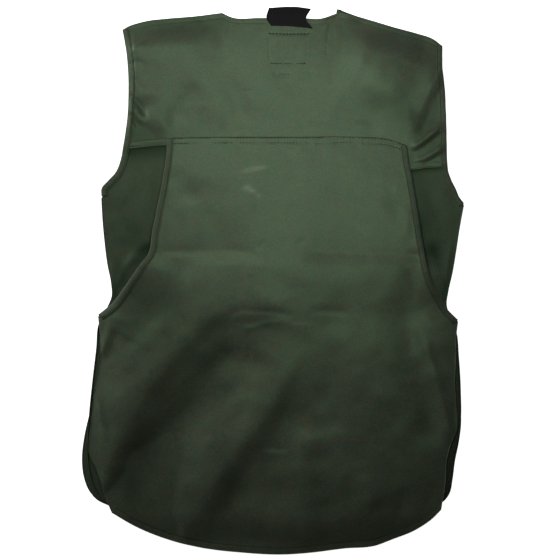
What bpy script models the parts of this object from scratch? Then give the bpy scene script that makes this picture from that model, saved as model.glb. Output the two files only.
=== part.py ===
"""Sleeveless shooting vest with a game pouch across the back, lying face down on a surface.

Everything is in millimetres until a mesh is made. A place on the cloth is given as (out, drop):
out is measured sideways from the centre-back line, wearer's left negative, and drop downwards
from the level of the back neckline. The fronts lie lowest, then the back, then the pouch.
"""
import bmesh
import bpy
import numpy as np

MM = 0.001

# Where the cloth lies, so that its box is centred over the origin
CENTRE_BACK = 11.4
NECK_LEVEL = 374.2

# Walls, gaps and trims
CLOTH = 1.4
SEAM_GAP = 0.3
LAYER_GAP = 0.5
TAPE = 1.0
TAPE_WIDTH = 9.0
FRONT_TAPE_WIDTH = 7.0
RAW_EDGE = TAPE + SEAM_GAP

# Front opening: the fronts overlap over the studs
LAP = 15.0
LAP_HEIGHT = CLOTH + 0.35
STUD_RADIUS = 7.5
STUD_HEIGHT = 2.0
STUD_CLEARANCE = 0.3
STUD_SIDES = 18
STUD_DROPS = (282.0, 372.0, 462.0, 552.0, 642.0)
STUD_SPACE = STUD_CLEARANCE + STUD_HEIGHT + SEAM_GAP
STUD_PROFILE = (
    (STUD_RADIUS - 0.8, 0.0),
    (STUD_RADIUS, 0.7),
    (STUD_RADIUS, STUD_HEIGHT - 0.4),
    (STUD_RADIUS - 0.5, STUD_HEIGHT),
)

# Bellows pockets on the fronts: a face, and a folded gusset between it and the front
GUSSET_WIDTH = 16.0
GUSSET_INSET = 3.0
POCKET_SPACE = 2 * (CLOTH + SEAM_GAP)

# Heights of the back's layers
UPPER_BACK = 3.2
LOWER_BACK = CLOTH + 0.35
BACK_OVER_POCKET = POCKET_SPACE + CLOTH + 0.5
NECK_RISE = 1.2
PLACKET_RISE = 4.6
YOKE_EDGE = 3.4
YOKE_BULGE = 5.0
POUCH_GAPE = 13.5

# Drops at which the layers begin and end
PLACKET_TOP = 250.0
POUCH_TOP = 171.0
FRONT_HEM = 698.0
POUCH_CLOSED = 745.0

# Smooth steps of the heights, as (start, end): sideways from the centre, and downwards
FRONT_AT_PLACKET = (20.0, 75.0)
BODY_AT_PLACKET = (24.0, 95.0)
POCKET_SIDE_STEP = (40.0, 95.0)
POCKET_TOP_STEP = (415.0, 475.0)
LAP_STEP_DOWN = (150.0, 225.0)
STUD_STEP_DOWN = (225.0, 265.0)
BODY_RISE_DOWN = (205.0, 262.0)
BODY_SETTLE_DOWN = (262.0, 315.0)
TAIL_FALL_DOWN = (706.0, 750.0)
SHOULDER_SEAM_INNER = (90.0, 112.0)
SHOULDER_SEAM_OUTER = (200.0, 220.0)
SHOULDER_ROLL = (0.0, 35.0)
YOKE_ONTO_BODY = (120.0, 165.0)
POUCH_OFF_YOKE = (222.0, 262.0)
MOUTH_CLOSING = (345.0, 425.0)

# Form of the two bulges: the yoke's half width, depth and fullness, and how late the pouch's sides close
YOKE_HALF_WIDTH = 235.0
YOKE_DEPTH = 190.0
YOKE_FULLNESS = 0.8
SIDE_SHARPNESS = 4

# Cells of the grids along each run of an edge
SHOULDER_CELLS = 10
NECKLINE_CELLS = 12
YOKE_CELLS_DOWN = 13
ARMHOLE_CELLS = 8
SIDE_CELLS = 10
TAIL_CELLS = 19
BODY_CELLS = 20
MOUTH_CELLS = 19
POUCH_SIDE_CELLS = 19
POUCH_CELLS = 30
FRONT_CELLS = 12
FRONT_ARMHOLE_CELLS = 9
FRONT_SIDE_CELLS = 19
CORNER_CELLS = 2
POCKET_CELLS = 8
POCKET_CELLS_DOWN = 12
TAB_CELLS = 8
FIRST_BODY_ROW = 2

# Edges, in rows of (out, drop). Wearer's left is negative.
NECKLINE = (
    (-83.8, -6.4), (-71.0, -0.4), (-30.0, 0.7), (27.0, 0.7), (58.2, 1.4), (75.3, -4.3),
    (85.2, -7.8),
)
LEFT_SHOULDER = (
    (-225.8, 17.0), (-217.3, 12.8), (-194.5, 5.7), (-160.5, 1.4), (-126.4, -1.4), (-83.8, -6.4),
)
RIGHT_SHOULDER = (
    (85.2, -7.8), (105.0, -2.8), (133.5, 5.7), (161.9, 14.2), (193.1, 22.7), (213.0, 29.1),
    (230.0, 39.8),
)
YOKE_HEM = (
    (-225.4, 187.4), (-164.7, 181.8), (0.0, 188.0), (130.0, 207.0), (185.3, 217.3), (204.5, 214.4),
    (237.5, 213.0),
)

LEFT_YOKE_ARMHOLE = (
    (-225.8, 17.0), (-221.5, 39.8), (-218.0, 72.4), (-217.3, 103.7), (-218.7, 140.6),
    (-225.4, 187.4),
)
RIGHT_YOKE_ARMHOLE = (
    (230.0, 39.8), (230.0, 72.4), (232.9, 95.1), (234.3, 117.9), (235.7, 163.3), (237.5, 213.0),
)

BODY_TOP = (
    (-222.6, 172.0), (-164.7, 169.0), (0.0, 174.0), (130.0, 193.0), (185.3, 203.0), (236.2, 201.0),
)
LEFT_BODY_ARMHOLE = (
    (-222.6, 172.0), (-227.2, 197.4), (-235.7, 220.1), (-245.7, 231.5), (-255.6, 243.5),
    (-255.6, 254.2),
)
RIGHT_BODY_ARMHOLE = (
    (236.2, 201.0), (238.6, 220.0), (242.8, 231.5), (248.5, 242.8), (254.2, 255.6), (260.6, 264.1),
)
LEFT_SIDE = (
    (-255.6, 254.2), (-254.2, 282.6), (-251.3, 316.7), (-247.0, 350.7), (-241.4, 379.1),
    (-240.7, 396.0), (-247.0, 412.0), (-256.4, 430.0),
)
RIGHT_SIDE = (
    (260.6, 264.1), (254.2, 299.6), (249.9, 328.0), (244.2, 362.1), (237.9, 390.5), (235.7, 409.0),
    (240.0, 423.0), (247.9, 437.4),
)

LEFT_MOUTH = (
    (-161.9, 171.8), (-164.0, 200.0), (-168.3, 230.0), (-176.1, 269.8), (-183.2, 305.3),
    (-188.9, 336.5), (-201.6, 353.6), (-221.5, 382.0), (-241.4, 407.5), (-259.9, 422.5),
)
RIGHT_MOUTH = (
    (178.9, 181.8), (182.0, 205.0), (186.7, 230.0), (191.7, 259.9), (198.8, 305.3), (204.5, 338.0),
    (211.6, 369.2), (224.4, 396.2), (234.3, 411.8), (252.0, 430.3),
)
POUCH_SEAM = (
    (-161.9, 171.8), (-100.0, 170.6), (12.8, 170.4), (112.2, 170.4), (147.7, 172.5), (178.9, 181.8),
)
LEFT_POUCH_SIDE = (
    (-259.9, 422.5), (-257.0, 451.6), (-256.3, 480.0), (-259.9, 509.8), (-264.8, 531.0),
    (-268.4, 568.0), (-272.6, 602.0), (-272.6, 620.5), (-264.1, 637.6), (-255.6, 660.3),
    (-249.9, 681.6), (-240.0, 704.3),
)
RIGHT_POUCH_SIDE = (
    (252.0, 430.3), (249.2, 451.6), (248.5, 485.6), (247.0, 522.6), (248.5, 548.1), (249.2, 586.5),
    (240.0, 610.6), (235.2, 630.5), (233.6, 661.7), (227.2, 700.0),
)
TAIL_HEM = (
    (-240.0, 704.3), (-205.9, 724.2), (-160.5, 742.7), (-115.0, 754.0), (-58.2, 761.0),
    (0.0, 764.0), (44.0, 761.1), (89.5, 755.4), (134.9, 751.2), (157.6, 742.7), (191.7, 728.5),
    (214.4, 712.8), (227.2, 700.0),
)

LEFT_FRONT_ARMHOLE = (
    (-225.8, 18.5), (-215.0, 40.0), (-206.0, 72.0), (-203.0, 104.0), (-205.0, 141.0),
    (-210.0, 165.0), (-219.0, 198.0), (-231.0, 224.0), (-254.2, 254.6),
)
RIGHT_FRONT_ARMHOLE = (
    (230.0, 41.3), (222.0, 72.0), (218.0, 104.0), (217.5, 141.0), (219.0, 170.0), (224.0, 205.0),
    (233.0, 232.0), (258.9, 265.0),
)
LEFT_FRONT_SIDE = (
    (-254.2, 254.6), (-252.8, 282.6), (-249.9, 316.7), (-245.6, 350.7), (-240.2, 379.1),
    (-239.6, 396.0), (-248.0, 414.0), (-259.4, 436.0), (-262.7, 470.0), (-268.0, 515.5),
    (-272.6, 560.9), (-275.0, 595.0), (-275.4, 626.2), (-271.6, 651.8), (-263.0, 674.0),
    (-246.0, 692.0),
)
RIGHT_FRONT_SIDE = (
    (258.9, 265.0), (252.8, 299.6), (248.5, 328.0), (242.8, 362.1), (236.6, 390.5), (234.6, 409.0),
    (240.5, 425.0), (249.2, 445.9), (252.8, 481.4), (255.6, 529.7), (255.0, 579.4), (249.5, 606.3),
    (243.0, 630.5), (238.4, 657.5), (233.0, 675.0), (222.0, 692.0),
)
LEFT_NECK_EDGE = ((-83.8, -4.0), (-74.0, 40.0), (-52.0, 110.0), (-22.0, 180.0), (LAP, PLACKET_TOP))
RIGHT_NECK_EDGE = ((79.5, -12.4), (72.0, 40.0), (52.0, 110.0), (22.0, 180.0), (-LAP, PLACKET_TOP))

LEFT_POCKET_SIDE = (
    (-255.0, 480.0), (-263.0, 515.5), (-272.0, 560.9), (-279.7, 595.0), (-283.3, 626.2),
    (-281.2, 651.8), (-272.6, 674.5), (-262.7, 685.9), (-246.0, 694.5),
)
RIGHT_POCKET_SIDE = (
    (248.0, 480.0), (252.5, 529.7), (256.3, 579.4), (252.8, 606.3), (247.8, 630.5), (244.2, 657.5),
    (240.0, 677.3), (231.5, 688.7), (216.0, 695.0),
)
POCKET_INNER = 108.0
POCKET_TOP = 480.0
POCKET_BOTTOM = 696.0
LEFT_HEM_CORNER = -225.0
RIGHT_HEM_CORNER = 205.0

# How far the body's lower edges lie inside the pouch's
BODY_TUCK = 2.0
TAIL_TUCK_SHARE = 0.985

# Ribbon tab folded over the back neckline
TAB_TOP = ((-17.0, -14.2), (21.3, -15.6), (42.6, -12.8))
TAB_BOTTOM = ((-14.2, 11.4), (12.8, 12.1), (44.7, 15.6))
TAB_LEFT = ((-17.0, -14.2), (-20.6, 0.0), (-14.2, 11.4))
TAB_RIGHT = ((42.6, -12.8), (35.5, 1.8), (44.7, 15.6))
TAB_TIP_HEIGHT = 1.6
TAB_BEND = (-14.0, -1.5)
TAB_NECKLINE = 1.0

# Large folds of the pouch and the yoke, in rows of (share, half_width, route). The share is how much of
# the bulge a trough takes away, or a ridge, with a minus sign, adds.
POUCH_FOLDS = (
    (0.58, 27.0, ((-72.0, 419.0), (-112.0, 476.0), (-158.0, 527.0), (-197.0, 578.0), (-226.0, 635.0))),
    (0.46, 19.0, ((18.0, 476.0), (7.0, 527.0), (-27.0, 578.0), (-55.0, 618.0), (-89.0, 663.0))),
    (0.34, 22.0, ((143.0, 373.0), (166.0, 430.0), (183.0, 464.0), (206.0, 550.0), (212.0, 601.0))),
    (0.24, 16.0, ((-94.0, 433.0), (-58.0, 415.0), (13.0, 420.0), (55.0, 416.0), (98.0, 413.0))),
)
YOKE_FOLDS = (
    (0.42, 24.0, ((-112.0, 95.0), (-169.0, 146.0))),
    (0.42, 26.0, ((126.0, 107.0), (183.0, 135.0))),
    (-0.22, 18.0, ((115.0, 44.0), (41.0, 140.0))),
)

# Edges sharper than this stay sharp when the surfaces are smoothed
SHARP_ANGLE = np.radians(40.0)

# Finishes: red, green, blue, roughness, metallic
FINISHES = {
    "shell_cloth": (0.045, 0.062, 0.038, 0.85, 0.0),
    "back_cloth": (0.072, 0.100, 0.063, 0.80, 0.0),
    "binding": (0.040, 0.056, 0.034, 0.85, 0.0),
    "ribbon": (0.004, 0.004, 0.004, 0.60, 0.0),
    "stud_metal": (0.020, 0.020, 0.018, 0.40, 0.8),
}


def ramp(value, start, end):
    """0 before start, 1 after end, and a smooth S between them."""
    t = np.clip((value - start) / (end - start), 0.0, 1.0)
    return t * t * (3.0 - 2.0 * t)


def through(points, cells):
    """A smooth curve through points, cut into equal lengths: cubic Hermite pieces over chord length."""
    p = np.array(points, float)
    s = np.concatenate(([0.0], np.cumsum(np.linalg.norm(np.diff(p, axis=0), axis=1))))
    slope = np.gradient(p, s, axis=0)
    at = np.linspace(0.0, s[-1], cells + 1)
    k = np.clip(np.searchsorted(s, at, side="right") - 1, 0, len(s) - 2)
    h = (s[k + 1] - s[k])[:, None]
    t = (at - s[k])[:, None] / h
    start = p[k] * (2 * t**3 - 3 * t**2 + 1) + h * slope[k] * (t**3 - 2 * t**2 + t)
    end = p[k + 1] * (3 * t**2 - 2 * t**3) + h * slope[k + 1] * (t**3 - t**2)
    return start + end


def joined(*runs):
    """One edge from runs of (points, cells) that meet at corners."""
    parts = [through(points, cells) for points, cells in runs]
    return np.vstack([parts[0]] + [part[1:] for part in parts[1:]])


def filled(top, bottom, left, right):
    """The grid that four edges enclose: both ruled surfaces added, less the one through the corners."""
    u = np.linspace(0.0, 1.0, len(top))[None, :, None]
    v = np.linspace(0.0, 1.0, len(left))[:, None, None]
    across = (1 - u) * left[:, None] + u * right[:, None]
    down = (1 - v) * top[None] + v * bottom[None]
    corners = (1 - v) * ((1 - u) * top[0] + u * top[-1]) + v * ((1 - u) * bottom[0] + u * bottom[-1])
    return across + down - corners


def inward(plan, column):
    """Unit vectors in the plan, square to one side column and pointing into the panel."""
    beside = 1 if column == 0 else -2
    tangent = np.gradient(plan[:, column], axis=0)
    square = np.stack([tangent[:, 1], -tangent[:, 0]], axis=1)
    square /= np.linalg.norm(square, axis=1)[:, None]
    return square * np.sign((square * (plan[:, beside] - plan[:, column])).sum(axis=1))[:, None]


def pulled_in(plan, column, rows):
    """The plan with part of one side column moved in, so that a tape can fold round that edge."""
    plan = plan.copy()
    plan[rows, column] += RAW_EDGE * inward(plan, column)[rows]
    return plan


def fold(out, drop, route, half_width):
    """A bell across a route: 1 on it, fading out to the sides and past its ends."""
    nearest = np.full(out.shape, np.inf)
    for (x0, y0), (x1, y1) in zip(route[:-1], route[1:]):
        length = (x1 - x0) ** 2 + (y1 - y0) ** 2
        t = np.clip(((out - x0) * (x1 - x0) + (drop - y0) * (y1 - y0)) / length, 0.0, 1.0)
        nearest = np.minimum(nearest, np.hypot(out - x0 - t * (x1 - x0), drop - y0 - t * (y1 - y0)))
    return np.exp(-((nearest / half_width) ** 2))


def pocket_share(out, drop):
    """1 over the front pockets, 0 at the placket and on the chest."""
    return ramp(np.abs(out), *POCKET_SIDE_STEP) * ramp(drop, *POCKET_TOP_STEP)


def front_under(out, drop, lap):
    """Underside of a front: flat on the surface, lifted over the studs, the other front and the pocket."""
    near_placket = 1.0 - ramp(np.abs(out), *FRONT_AT_PLACKET)
    over_studs = STUD_SPACE * ramp(drop, *STUD_STEP_DOWN)
    lift = near_placket * (over_studs + lap * ramp(drop, *LAP_STEP_DOWN))
    return lift + (POCKET_SPACE - lift) * pocket_share(out, drop)


def body_under(out, drop):
    """Underside of the back body: just clear of the fronts, down to the surface at the tail."""
    base = UPPER_BACK + (LOWER_BACK - UPPER_BACK) * ramp(drop, *BODY_SETTLE_DOWN)
    near_placket = 1.0 - ramp(np.abs(out), *BODY_AT_PLACKET)
    rise = NECK_RISE + (PLACKET_RISE - NECK_RISE) * ramp(drop, *BODY_RISE_DOWN)
    lift = base + near_placket * rise
    level = lift + (BACK_OVER_POCKET - lift) * pocket_share(out, drop)
    return level * (1.0 - ramp(drop, *TAIL_FALL_DOWN))


def shoulder_drop(out):
    """Drop of the shoulder line at a place across."""
    line = np.array(LEFT_SHOULDER + RIGHT_SHOULDER)
    return np.interp(out, line[:, 0], line[:, 1])


def yoke_under(out, drop):
    """Underside of the yoke: softly bulged, rolled down along the shoulders, over the body at its hem."""
    across = np.clip(1.0 - (out / YOKE_HALF_WIDTH) ** 2, 0.0, 1.0)
    bulge = across * np.sin(np.pi * np.clip(drop / YOKE_DEPTH, 0.0, 1.0)) ** YOKE_FULLNESS
    for share, half_width, route in YOKE_FOLDS:
        bulge = bulge * (1.0 - share * fold(out, drop, route, half_width))
    seam = ramp(np.abs(out), *SHOULDER_SEAM_INNER) * (1.0 - ramp(np.abs(out), *SHOULDER_SEAM_OUTER))
    roll = seam * (1.0 - ramp(drop - shoulder_drop(out), *SHOULDER_ROLL))
    upper = YOKE_EDGE + YOKE_BULGE * bulge - (YOKE_EDGE - LOWER_BACK) * roll
    lower = body_under(out, drop) + CLOTH + LAYER_GAP
    return upper + (lower - upper) * ramp(drop, *YOKE_ONTO_BODY)


def pouch_under(out, drop, across):
    """Underside of the pouch: on the yoke at its seam, gaping over the back, down again at its sides."""
    layers = 2.0 - ramp(drop, *POUCH_OFF_YOKE)
    seat = body_under(out, drop) + (CLOTH + LAYER_GAP) * layers
    down = np.clip((drop - POUCH_TOP) / (POUCH_CLOSED - POUCH_TOP), 0.0, 1.0)
    gape = POUCH_GAPE * np.sin(np.pi * down)
    gape = gape * (1.0 - ramp(drop, *MOUTH_CLOSING) * np.abs(across) ** SIDE_SHARPNESS)
    for share, half_width, route in POUCH_FOLDS:
        gape = gape * (1.0 - share * fold(out, drop, route, half_width))
    return seat + gape


def place(points):
    """Millimetres from the centre-back line to metres in the part's frame, for (out, drop, height)."""
    p = np.asarray(points, float)
    world = np.stack([p[..., 0] + CENTRE_BACK, NECK_LEVEL - p[..., 1], p[..., 2]], axis=-1)
    return world.reshape(-1, 3) * MM


def new_object(name, points, faces, finish):
    """A closed mesh object with its own material."""
    mesh = bpy.data.meshes.new(name)
    mesh.from_pydata(points.tolist(), [], faces)
    shell = bmesh.new()
    shell.from_mesh(mesh)
    bmesh.ops.recalc_face_normals(shell, faces=shell.faces)
    shell.to_mesh(mesh)
    shell.free()
    mesh.shade_smooth()
    mesh.set_sharp_from_angle(angle=SHARP_ANGLE)
    red, green, blue, roughness, metallic = FINISHES[finish]
    material = bpy.data.materials.new(name + "_" + finish)
    material.use_nodes = True
    shader = material.node_tree.nodes["Principled BSDF"]
    shader.inputs["Base Color"].default_value = (red, green, blue, 1.0)
    shader.inputs["Roughness"].default_value = roughness
    shader.inputs["Metallic"].default_value = metallic
    mesh.materials.append(material)
    made = bpy.data.objects.new(name, mesh)
    bpy.context.scene.collection.objects.link(made)
    return made


def wall(name, plan, under, finish, thickness=CLOTH):
    """A cloth wall over a plan grid: its underside at the given heights, its upper side above it."""
    rows, columns = under.shape
    low = np.concatenate([plan, under[..., None]], axis=-1)
    high = np.concatenate([plan, under[..., None] + thickness], axis=-1)
    count = rows * columns
    index = np.arange(count).reshape(rows, columns)
    a, b, c, d = index[:-1, :-1], index[:-1, 1:], index[1:, 1:], index[1:, :-1]
    upper = np.stack([a, d, c, b], axis=-1).reshape(-1, 4) + count
    lower = np.stack([a, b, c, d], axis=-1).reshape(-1, 4)
    rim = np.concatenate([index[0, :-1], index[:-1, -1], index[-1, :0:-1], index[:0:-1, 0]])
    after = np.roll(rim, -1)
    sides = np.stack([rim, after, after + count, rim + count], axis=-1)
    points = np.vstack([place(low), place(high)])
    new_object(name, points, np.vstack([upper, lower, sides]).tolist(), finish)
    return low, high


def tube(name, rings, finish):
    """A closed bar through rings of section points, (stations, points, 3), capped at both ends."""
    stations, count = rings.shape[:2]
    index = np.arange(stations * count).reshape(stations, count)
    turned = np.roll(index, -1, axis=1)
    sides = np.stack([index[:-1], turned[:-1], turned[1:], index[1:]], axis=-1).reshape(-1, 4)
    caps = [index[0].tolist(), index[-1, ::-1].tolist()]
    new_object(name, place(rings), sides.tolist() + caps, finish)


def tape_section(edge, square, low, high, beside, width):
    """Rings of a folded tape: a strip on the panel beside its edge, and a lip down over the raw edge.

    edge is the finished edge, square points inwards, low is the height of the panel's underside, and
    high and beside are the upper points of its outer and next columns. The strip's points lie on the
    line through those two, moved out, so that the strip follows the panel.
    """
    step = beside - high
    run = np.linalg.norm(step[:, :2], axis=1)
    reach = np.clip((square * step[:, :2]).sum(axis=1) / run, 0.5, 1.0)
    slope = (step[:, 2] / (run * reach))[:, None]

    def at(distance, height):
        flat = edge + square * distance
        rise = slope * max(distance - RAW_EDGE, 0.0)
        return np.concatenate([flat, height[:, None] + rise], axis=1)

    top = high[:, 2] + SEAM_GAP
    return np.stack([
        at(0.0, top + TAPE),
        at(width, top + TAPE),
        at(width, top),
        at(TAPE, top),
        at(TAPE, low),
        at(0.0, low),
    ], axis=1)


def bind(name, width, *stretches):
    """A tape along the bound edge of one or more panels.

    Each stretch is (plan before it was pulled in, low, high, column, rows).
    """
    rings = []
    for outline, low, high, column, rows in stretches:
        beside = 1 if column == 0 else -2
        square = inward(outline, column)[rows]
        rings.append(tape_section(outline[rows, column], square, low[rows, column, 2],
                                  high[rows, column], high[rows, beside], width))
    tube(name, np.concatenate(rings), "binding")


def first(rows):
    """The rows of a grid down to and with the given one."""
    return slice(0, rows + 1)


def make_front(side_name, edges, hem_corner, lap, placket_out):
    """One front: shoulder, armhole, side with its rounded corner, hem, placket and neck edge."""
    armhole, side, neck_edge = edges
    corner = (hem_corner, FRONT_HEM)
    placket_foot = (placket_out, FRONT_HEM)
    outer = joined((armhole, FRONT_ARMHOLE_CELLS), (side, FRONT_SIDE_CELLS))
    inner = joined((neck_edge, FRONT_ARMHOLE_CELLS), ((neck_edge[-1], placket_foot), FRONT_SIDE_CELLS))
    top = through((armhole[0], neck_edge[0]), FRONT_CELLS)
    bottom = joined(((side[-1], corner), CORNER_CELLS), ((corner, placket_foot), FRONT_CELLS - CORNER_CELLS))
    outline = filled(top, bottom, outer, inner)
    bound_neck = first(FRONT_ARMHOLE_CELLS - 1)
    plan = pulled_in(outline, 0, first(FRONT_ARMHOLE_CELLS))
    plan = pulled_in(plan, -1, bound_neck)
    under = front_under(plan[..., 0], plan[..., 1], lap)
    low, high = wall("front_" + side_name, plan, under, "shell_cloth")
    panel = (outline, low, high)
    bind("front_armhole_binding_" + side_name, FRONT_TAPE_WIDTH, panel + (0, first(FRONT_ARMHOLE_CELLS)))
    bind("neck_binding_" + side_name, FRONT_TAPE_WIDTH, panel + (-1, first(FRONT_ARMHOLE_CELLS - 2)))


def make_pocket(side_name, side):
    """A bellows pocket: its face on the surface, and the folded gusset along three of its sides."""
    sign = np.sign(side[0][0])
    inner_top = (sign * POCKET_INNER, POCKET_TOP)
    inner_bottom = (sign * POCKET_INNER, POCKET_BOTTOM)
    outer = through(side, POCKET_CELLS_DOWN)
    inner = through((inner_top, inner_bottom), POCKET_CELLS_DOWN)
    bottom = through((side[-1], inner_bottom), POCKET_CELLS)
    plan = filled(through((side[0], inner_top), POCKET_CELLS), bottom, outer, inner)
    wall("front_pocket_" + side_name, plan, np.zeros(plan.shape[:2]), "shell_cloth")

    route = np.vstack([outer[:-1], bottom[:-1], inner[::-1]])
    tangent = np.gradient(route, axis=0)
    square = np.stack([tangent[:, 1], -tangent[:, 0]], axis=1) * -sign
    square /= np.linalg.norm(square, axis=1)[:, None]
    seat = CLOTH + SEAM_GAP
    section = ((0.0, seat), (GUSSET_WIDTH, seat), (GUSSET_WIDTH, seat + CLOTH), (0.0, seat + CLOTH))
    rings = [level(route + square * (GUSSET_INSET + across), height) for across, height in section]
    tube("pocket_gusset_" + side_name, np.stack(rings, axis=1), "shell_cloth")


def level(plan, height):
    """Plan points at one height."""
    return np.concatenate([plan, np.full((len(plan), 1), height)], axis=1)


def make_studs():
    """Flat press studs down the front opening, under the placket: a disc with softened rims each."""
    angle = np.linspace(0.0, 2.0 * np.pi, STUD_SIDES, endpoint=False)
    circle = np.stack([np.cos(angle), np.sin(angle)], axis=1)
    for number, drop in enumerate(STUD_DROPS, start=1):
        middle = np.array([0.0, drop])
        rings = [level(middle + radius * circle, STUD_CLEARANCE + height) for radius, height in STUD_PROFILE]
        tube("stud_%d" % number, np.stack(rings), "stud_metal")


def make_yoke():
    """The yoke: shoulders and neckline above, armholes at the sides, its hem over the body."""
    shoulders = ((LEFT_SHOULDER, SHOULDER_CELLS), (RIGHT_SHOULDER, SHOULDER_CELLS))
    top = joined(shoulders[0], (NECKLINE, NECKLINE_CELLS), shoulders[1])
    left = through(LEFT_YOKE_ARMHOLE, YOKE_CELLS_DOWN)
    right = through(RIGHT_YOKE_ARMHOLE, YOKE_CELLS_DOWN)
    outline = filled(top, through(YOKE_HEM, len(top) - 1), left, right)
    plan = pulled_in(pulled_in(outline, 0, first(YOKE_CELLS_DOWN)), -1, first(YOKE_CELLS_DOWN))
    low, high = wall("yoke", plan, yoke_under(plan[..., 0], plan[..., 1]), "back_cloth")
    return outline, low, high


def tucked_in(side, start):
    """The pouch's lower side moved in a little, so that the pouch hides the body's edge."""
    tuck = BODY_TUCK * np.array([-np.sign(start[0]), -1.0])
    return (start,) + tuple(tuple(np.add(point, tuck)) for point in side[1:])


def make_body():
    """The back body: from under the yoke to the tail, bound at the armholes, mostly under the pouch."""
    left_tail = tucked_in(LEFT_POUCH_SIDE, LEFT_SIDE[-1])
    right_tail = tucked_in(RIGHT_POUCH_SIDE, RIGHT_SIDE[-1])
    left = joined((LEFT_BODY_ARMHOLE, ARMHOLE_CELLS), (LEFT_SIDE, SIDE_CELLS), (left_tail, TAIL_CELLS))
    right = joined((RIGHT_BODY_ARMHOLE, ARMHOLE_CELLS), (RIGHT_SIDE, SIDE_CELLS), (right_tail, TAIL_CELLS))
    hem = tuple((out * TAIL_TUCK_SHARE, drop - 2 * BODY_TUCK) for out, drop in TAIL_HEM[1:-1])
    bottom = through((left_tail[-1],) + hem + (right_tail[-1],), BODY_CELLS)
    outline = filled(through(BODY_TOP, BODY_CELLS), bottom, left, right)
    plan = pulled_in(pulled_in(outline, 0, first(ARMHOLE_CELLS)), -1, first(ARMHOLE_CELLS))
    low, high = wall("back_body", plan, body_under(plan[..., 0], plan[..., 1]), "shell_cloth")
    return outline, low, high


def make_pouch():
    """The game pouch panel: seam on the yoke, bound mouths at both sides, its hem over the tail."""
    left = joined((LEFT_MOUTH, MOUTH_CELLS), (LEFT_POUCH_SIDE, POUCH_SIDE_CELLS))
    right = joined((RIGHT_MOUTH, MOUTH_CELLS), (RIGHT_POUCH_SIDE, POUCH_SIDE_CELLS))
    outline = filled(through(POUCH_SEAM, POUCH_CELLS), through(TAIL_HEM, POUCH_CELLS), left, right)
    plan = pulled_in(pulled_in(outline, 0, first(MOUTH_CELLS)), -1, first(MOUTH_CELLS))
    across = np.broadcast_to(np.linspace(-1.0, 1.0, plan.shape[1]), plan.shape[:2])
    low, high = wall("game_pouch", plan, pouch_under(plan[..., 0], plan[..., 1], across), "back_cloth")
    return outline, low, high


def make_tab():
    """The ribbon tab: flat on the yoke, bent down over the neckline to its tip."""
    plan = filled(through(TAB_TOP, TAB_CELLS), through(TAB_BOTTOM, TAB_CELLS),
                  through(TAB_LEFT, TAB_CELLS), through(TAB_RIGHT, TAB_CELLS))
    out, drop = plan[..., 0], plan[..., 1]
    on_yoke = yoke_under(out, np.maximum(drop, TAB_NECKLINE)) + CLOTH + SEAM_GAP
    under = TAB_TIP_HEIGHT + (on_yoke - TAB_TIP_HEIGHT) * ramp(drop, *TAB_BEND)
    wall("neck_tab", plan, under, "ribbon", TAPE)


def make_vest():
    """Every piece, from the surface upwards."""
    make_pocket("left", LEFT_POCKET_SIDE)
    make_pocket("right", RIGHT_POCKET_SIDE)
    make_studs()
    left_edges = (LEFT_FRONT_ARMHOLE, LEFT_FRONT_SIDE, LEFT_NECK_EDGE)
    right_edges = (RIGHT_FRONT_ARMHOLE, RIGHT_FRONT_SIDE, RIGHT_NECK_EDGE)
    make_front("left", left_edges, LEFT_HEM_CORNER, 0.0, LAP)
    make_front("right", right_edges, RIGHT_HEM_CORNER, LAP_HEIGHT, -LAP)
    body = make_body()
    yoke = make_yoke()
    pouch = make_pouch()
    make_tab()
    below_yoke = slice(FIRST_BODY_ROW, ARMHOLE_CELLS + 1)
    for side_name, column in (("left", 0), ("right", -1)):
        on_yoke = yoke + (column, first(YOKE_CELLS_DOWN))
        bind("armhole_binding_" + side_name, TAPE_WIDTH, on_yoke, body + (column, below_yoke))
        bind("pouch_binding_" + side_name, TAPE_WIDTH, pouch + (column, first(MOUTH_CELLS)))


for old in list(bpy.data.objects):
    bpy.data.objects.remove(old, do_unlink=True)
make_vest()
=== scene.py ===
"""Sleeveless shooting vest lying face down: its cloth, tapes, stitching, ribbon tab and studs.

Everything is in millimetres until a mesh is made. A place on the cloth is given as (out, drop): out
is measured sideways from the centre-back line, wearer's left negative, and drop downwards from the
level of the back neckline. The fronts lie lowest, then the back, then the pouch. The edges and the
heights repeat those of the solids, on finer grids, and creases, seams and hems are added to them.
"""

import bpy
import numpy as np
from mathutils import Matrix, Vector


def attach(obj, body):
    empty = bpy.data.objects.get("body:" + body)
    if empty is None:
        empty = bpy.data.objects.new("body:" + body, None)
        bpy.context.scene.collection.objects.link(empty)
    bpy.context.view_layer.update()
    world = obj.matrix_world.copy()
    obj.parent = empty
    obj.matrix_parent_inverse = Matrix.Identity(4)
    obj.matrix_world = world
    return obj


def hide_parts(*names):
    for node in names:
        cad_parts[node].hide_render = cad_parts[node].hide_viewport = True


bl_info = {
    "name": "Shooting vest",
    "version": (1, 0, 0),
    "blender": (4, 5, 0),
    "location": "3D View > Sidebar > Vest",
    "description": "Builds the cloth, tapes, stitching, ribbon tab and studs of a shooting vest",
    "category": "Mesh",
}

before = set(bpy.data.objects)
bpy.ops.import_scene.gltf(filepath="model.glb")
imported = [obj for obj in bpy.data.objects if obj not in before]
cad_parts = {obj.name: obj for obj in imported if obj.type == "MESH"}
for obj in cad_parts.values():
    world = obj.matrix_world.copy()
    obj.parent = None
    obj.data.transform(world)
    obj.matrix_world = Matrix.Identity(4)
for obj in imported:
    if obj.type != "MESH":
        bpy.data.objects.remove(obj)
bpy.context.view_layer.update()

MM = 0.001
CENTRE_BACK = 11.4
NECK_LEVEL = 374.2

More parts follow.
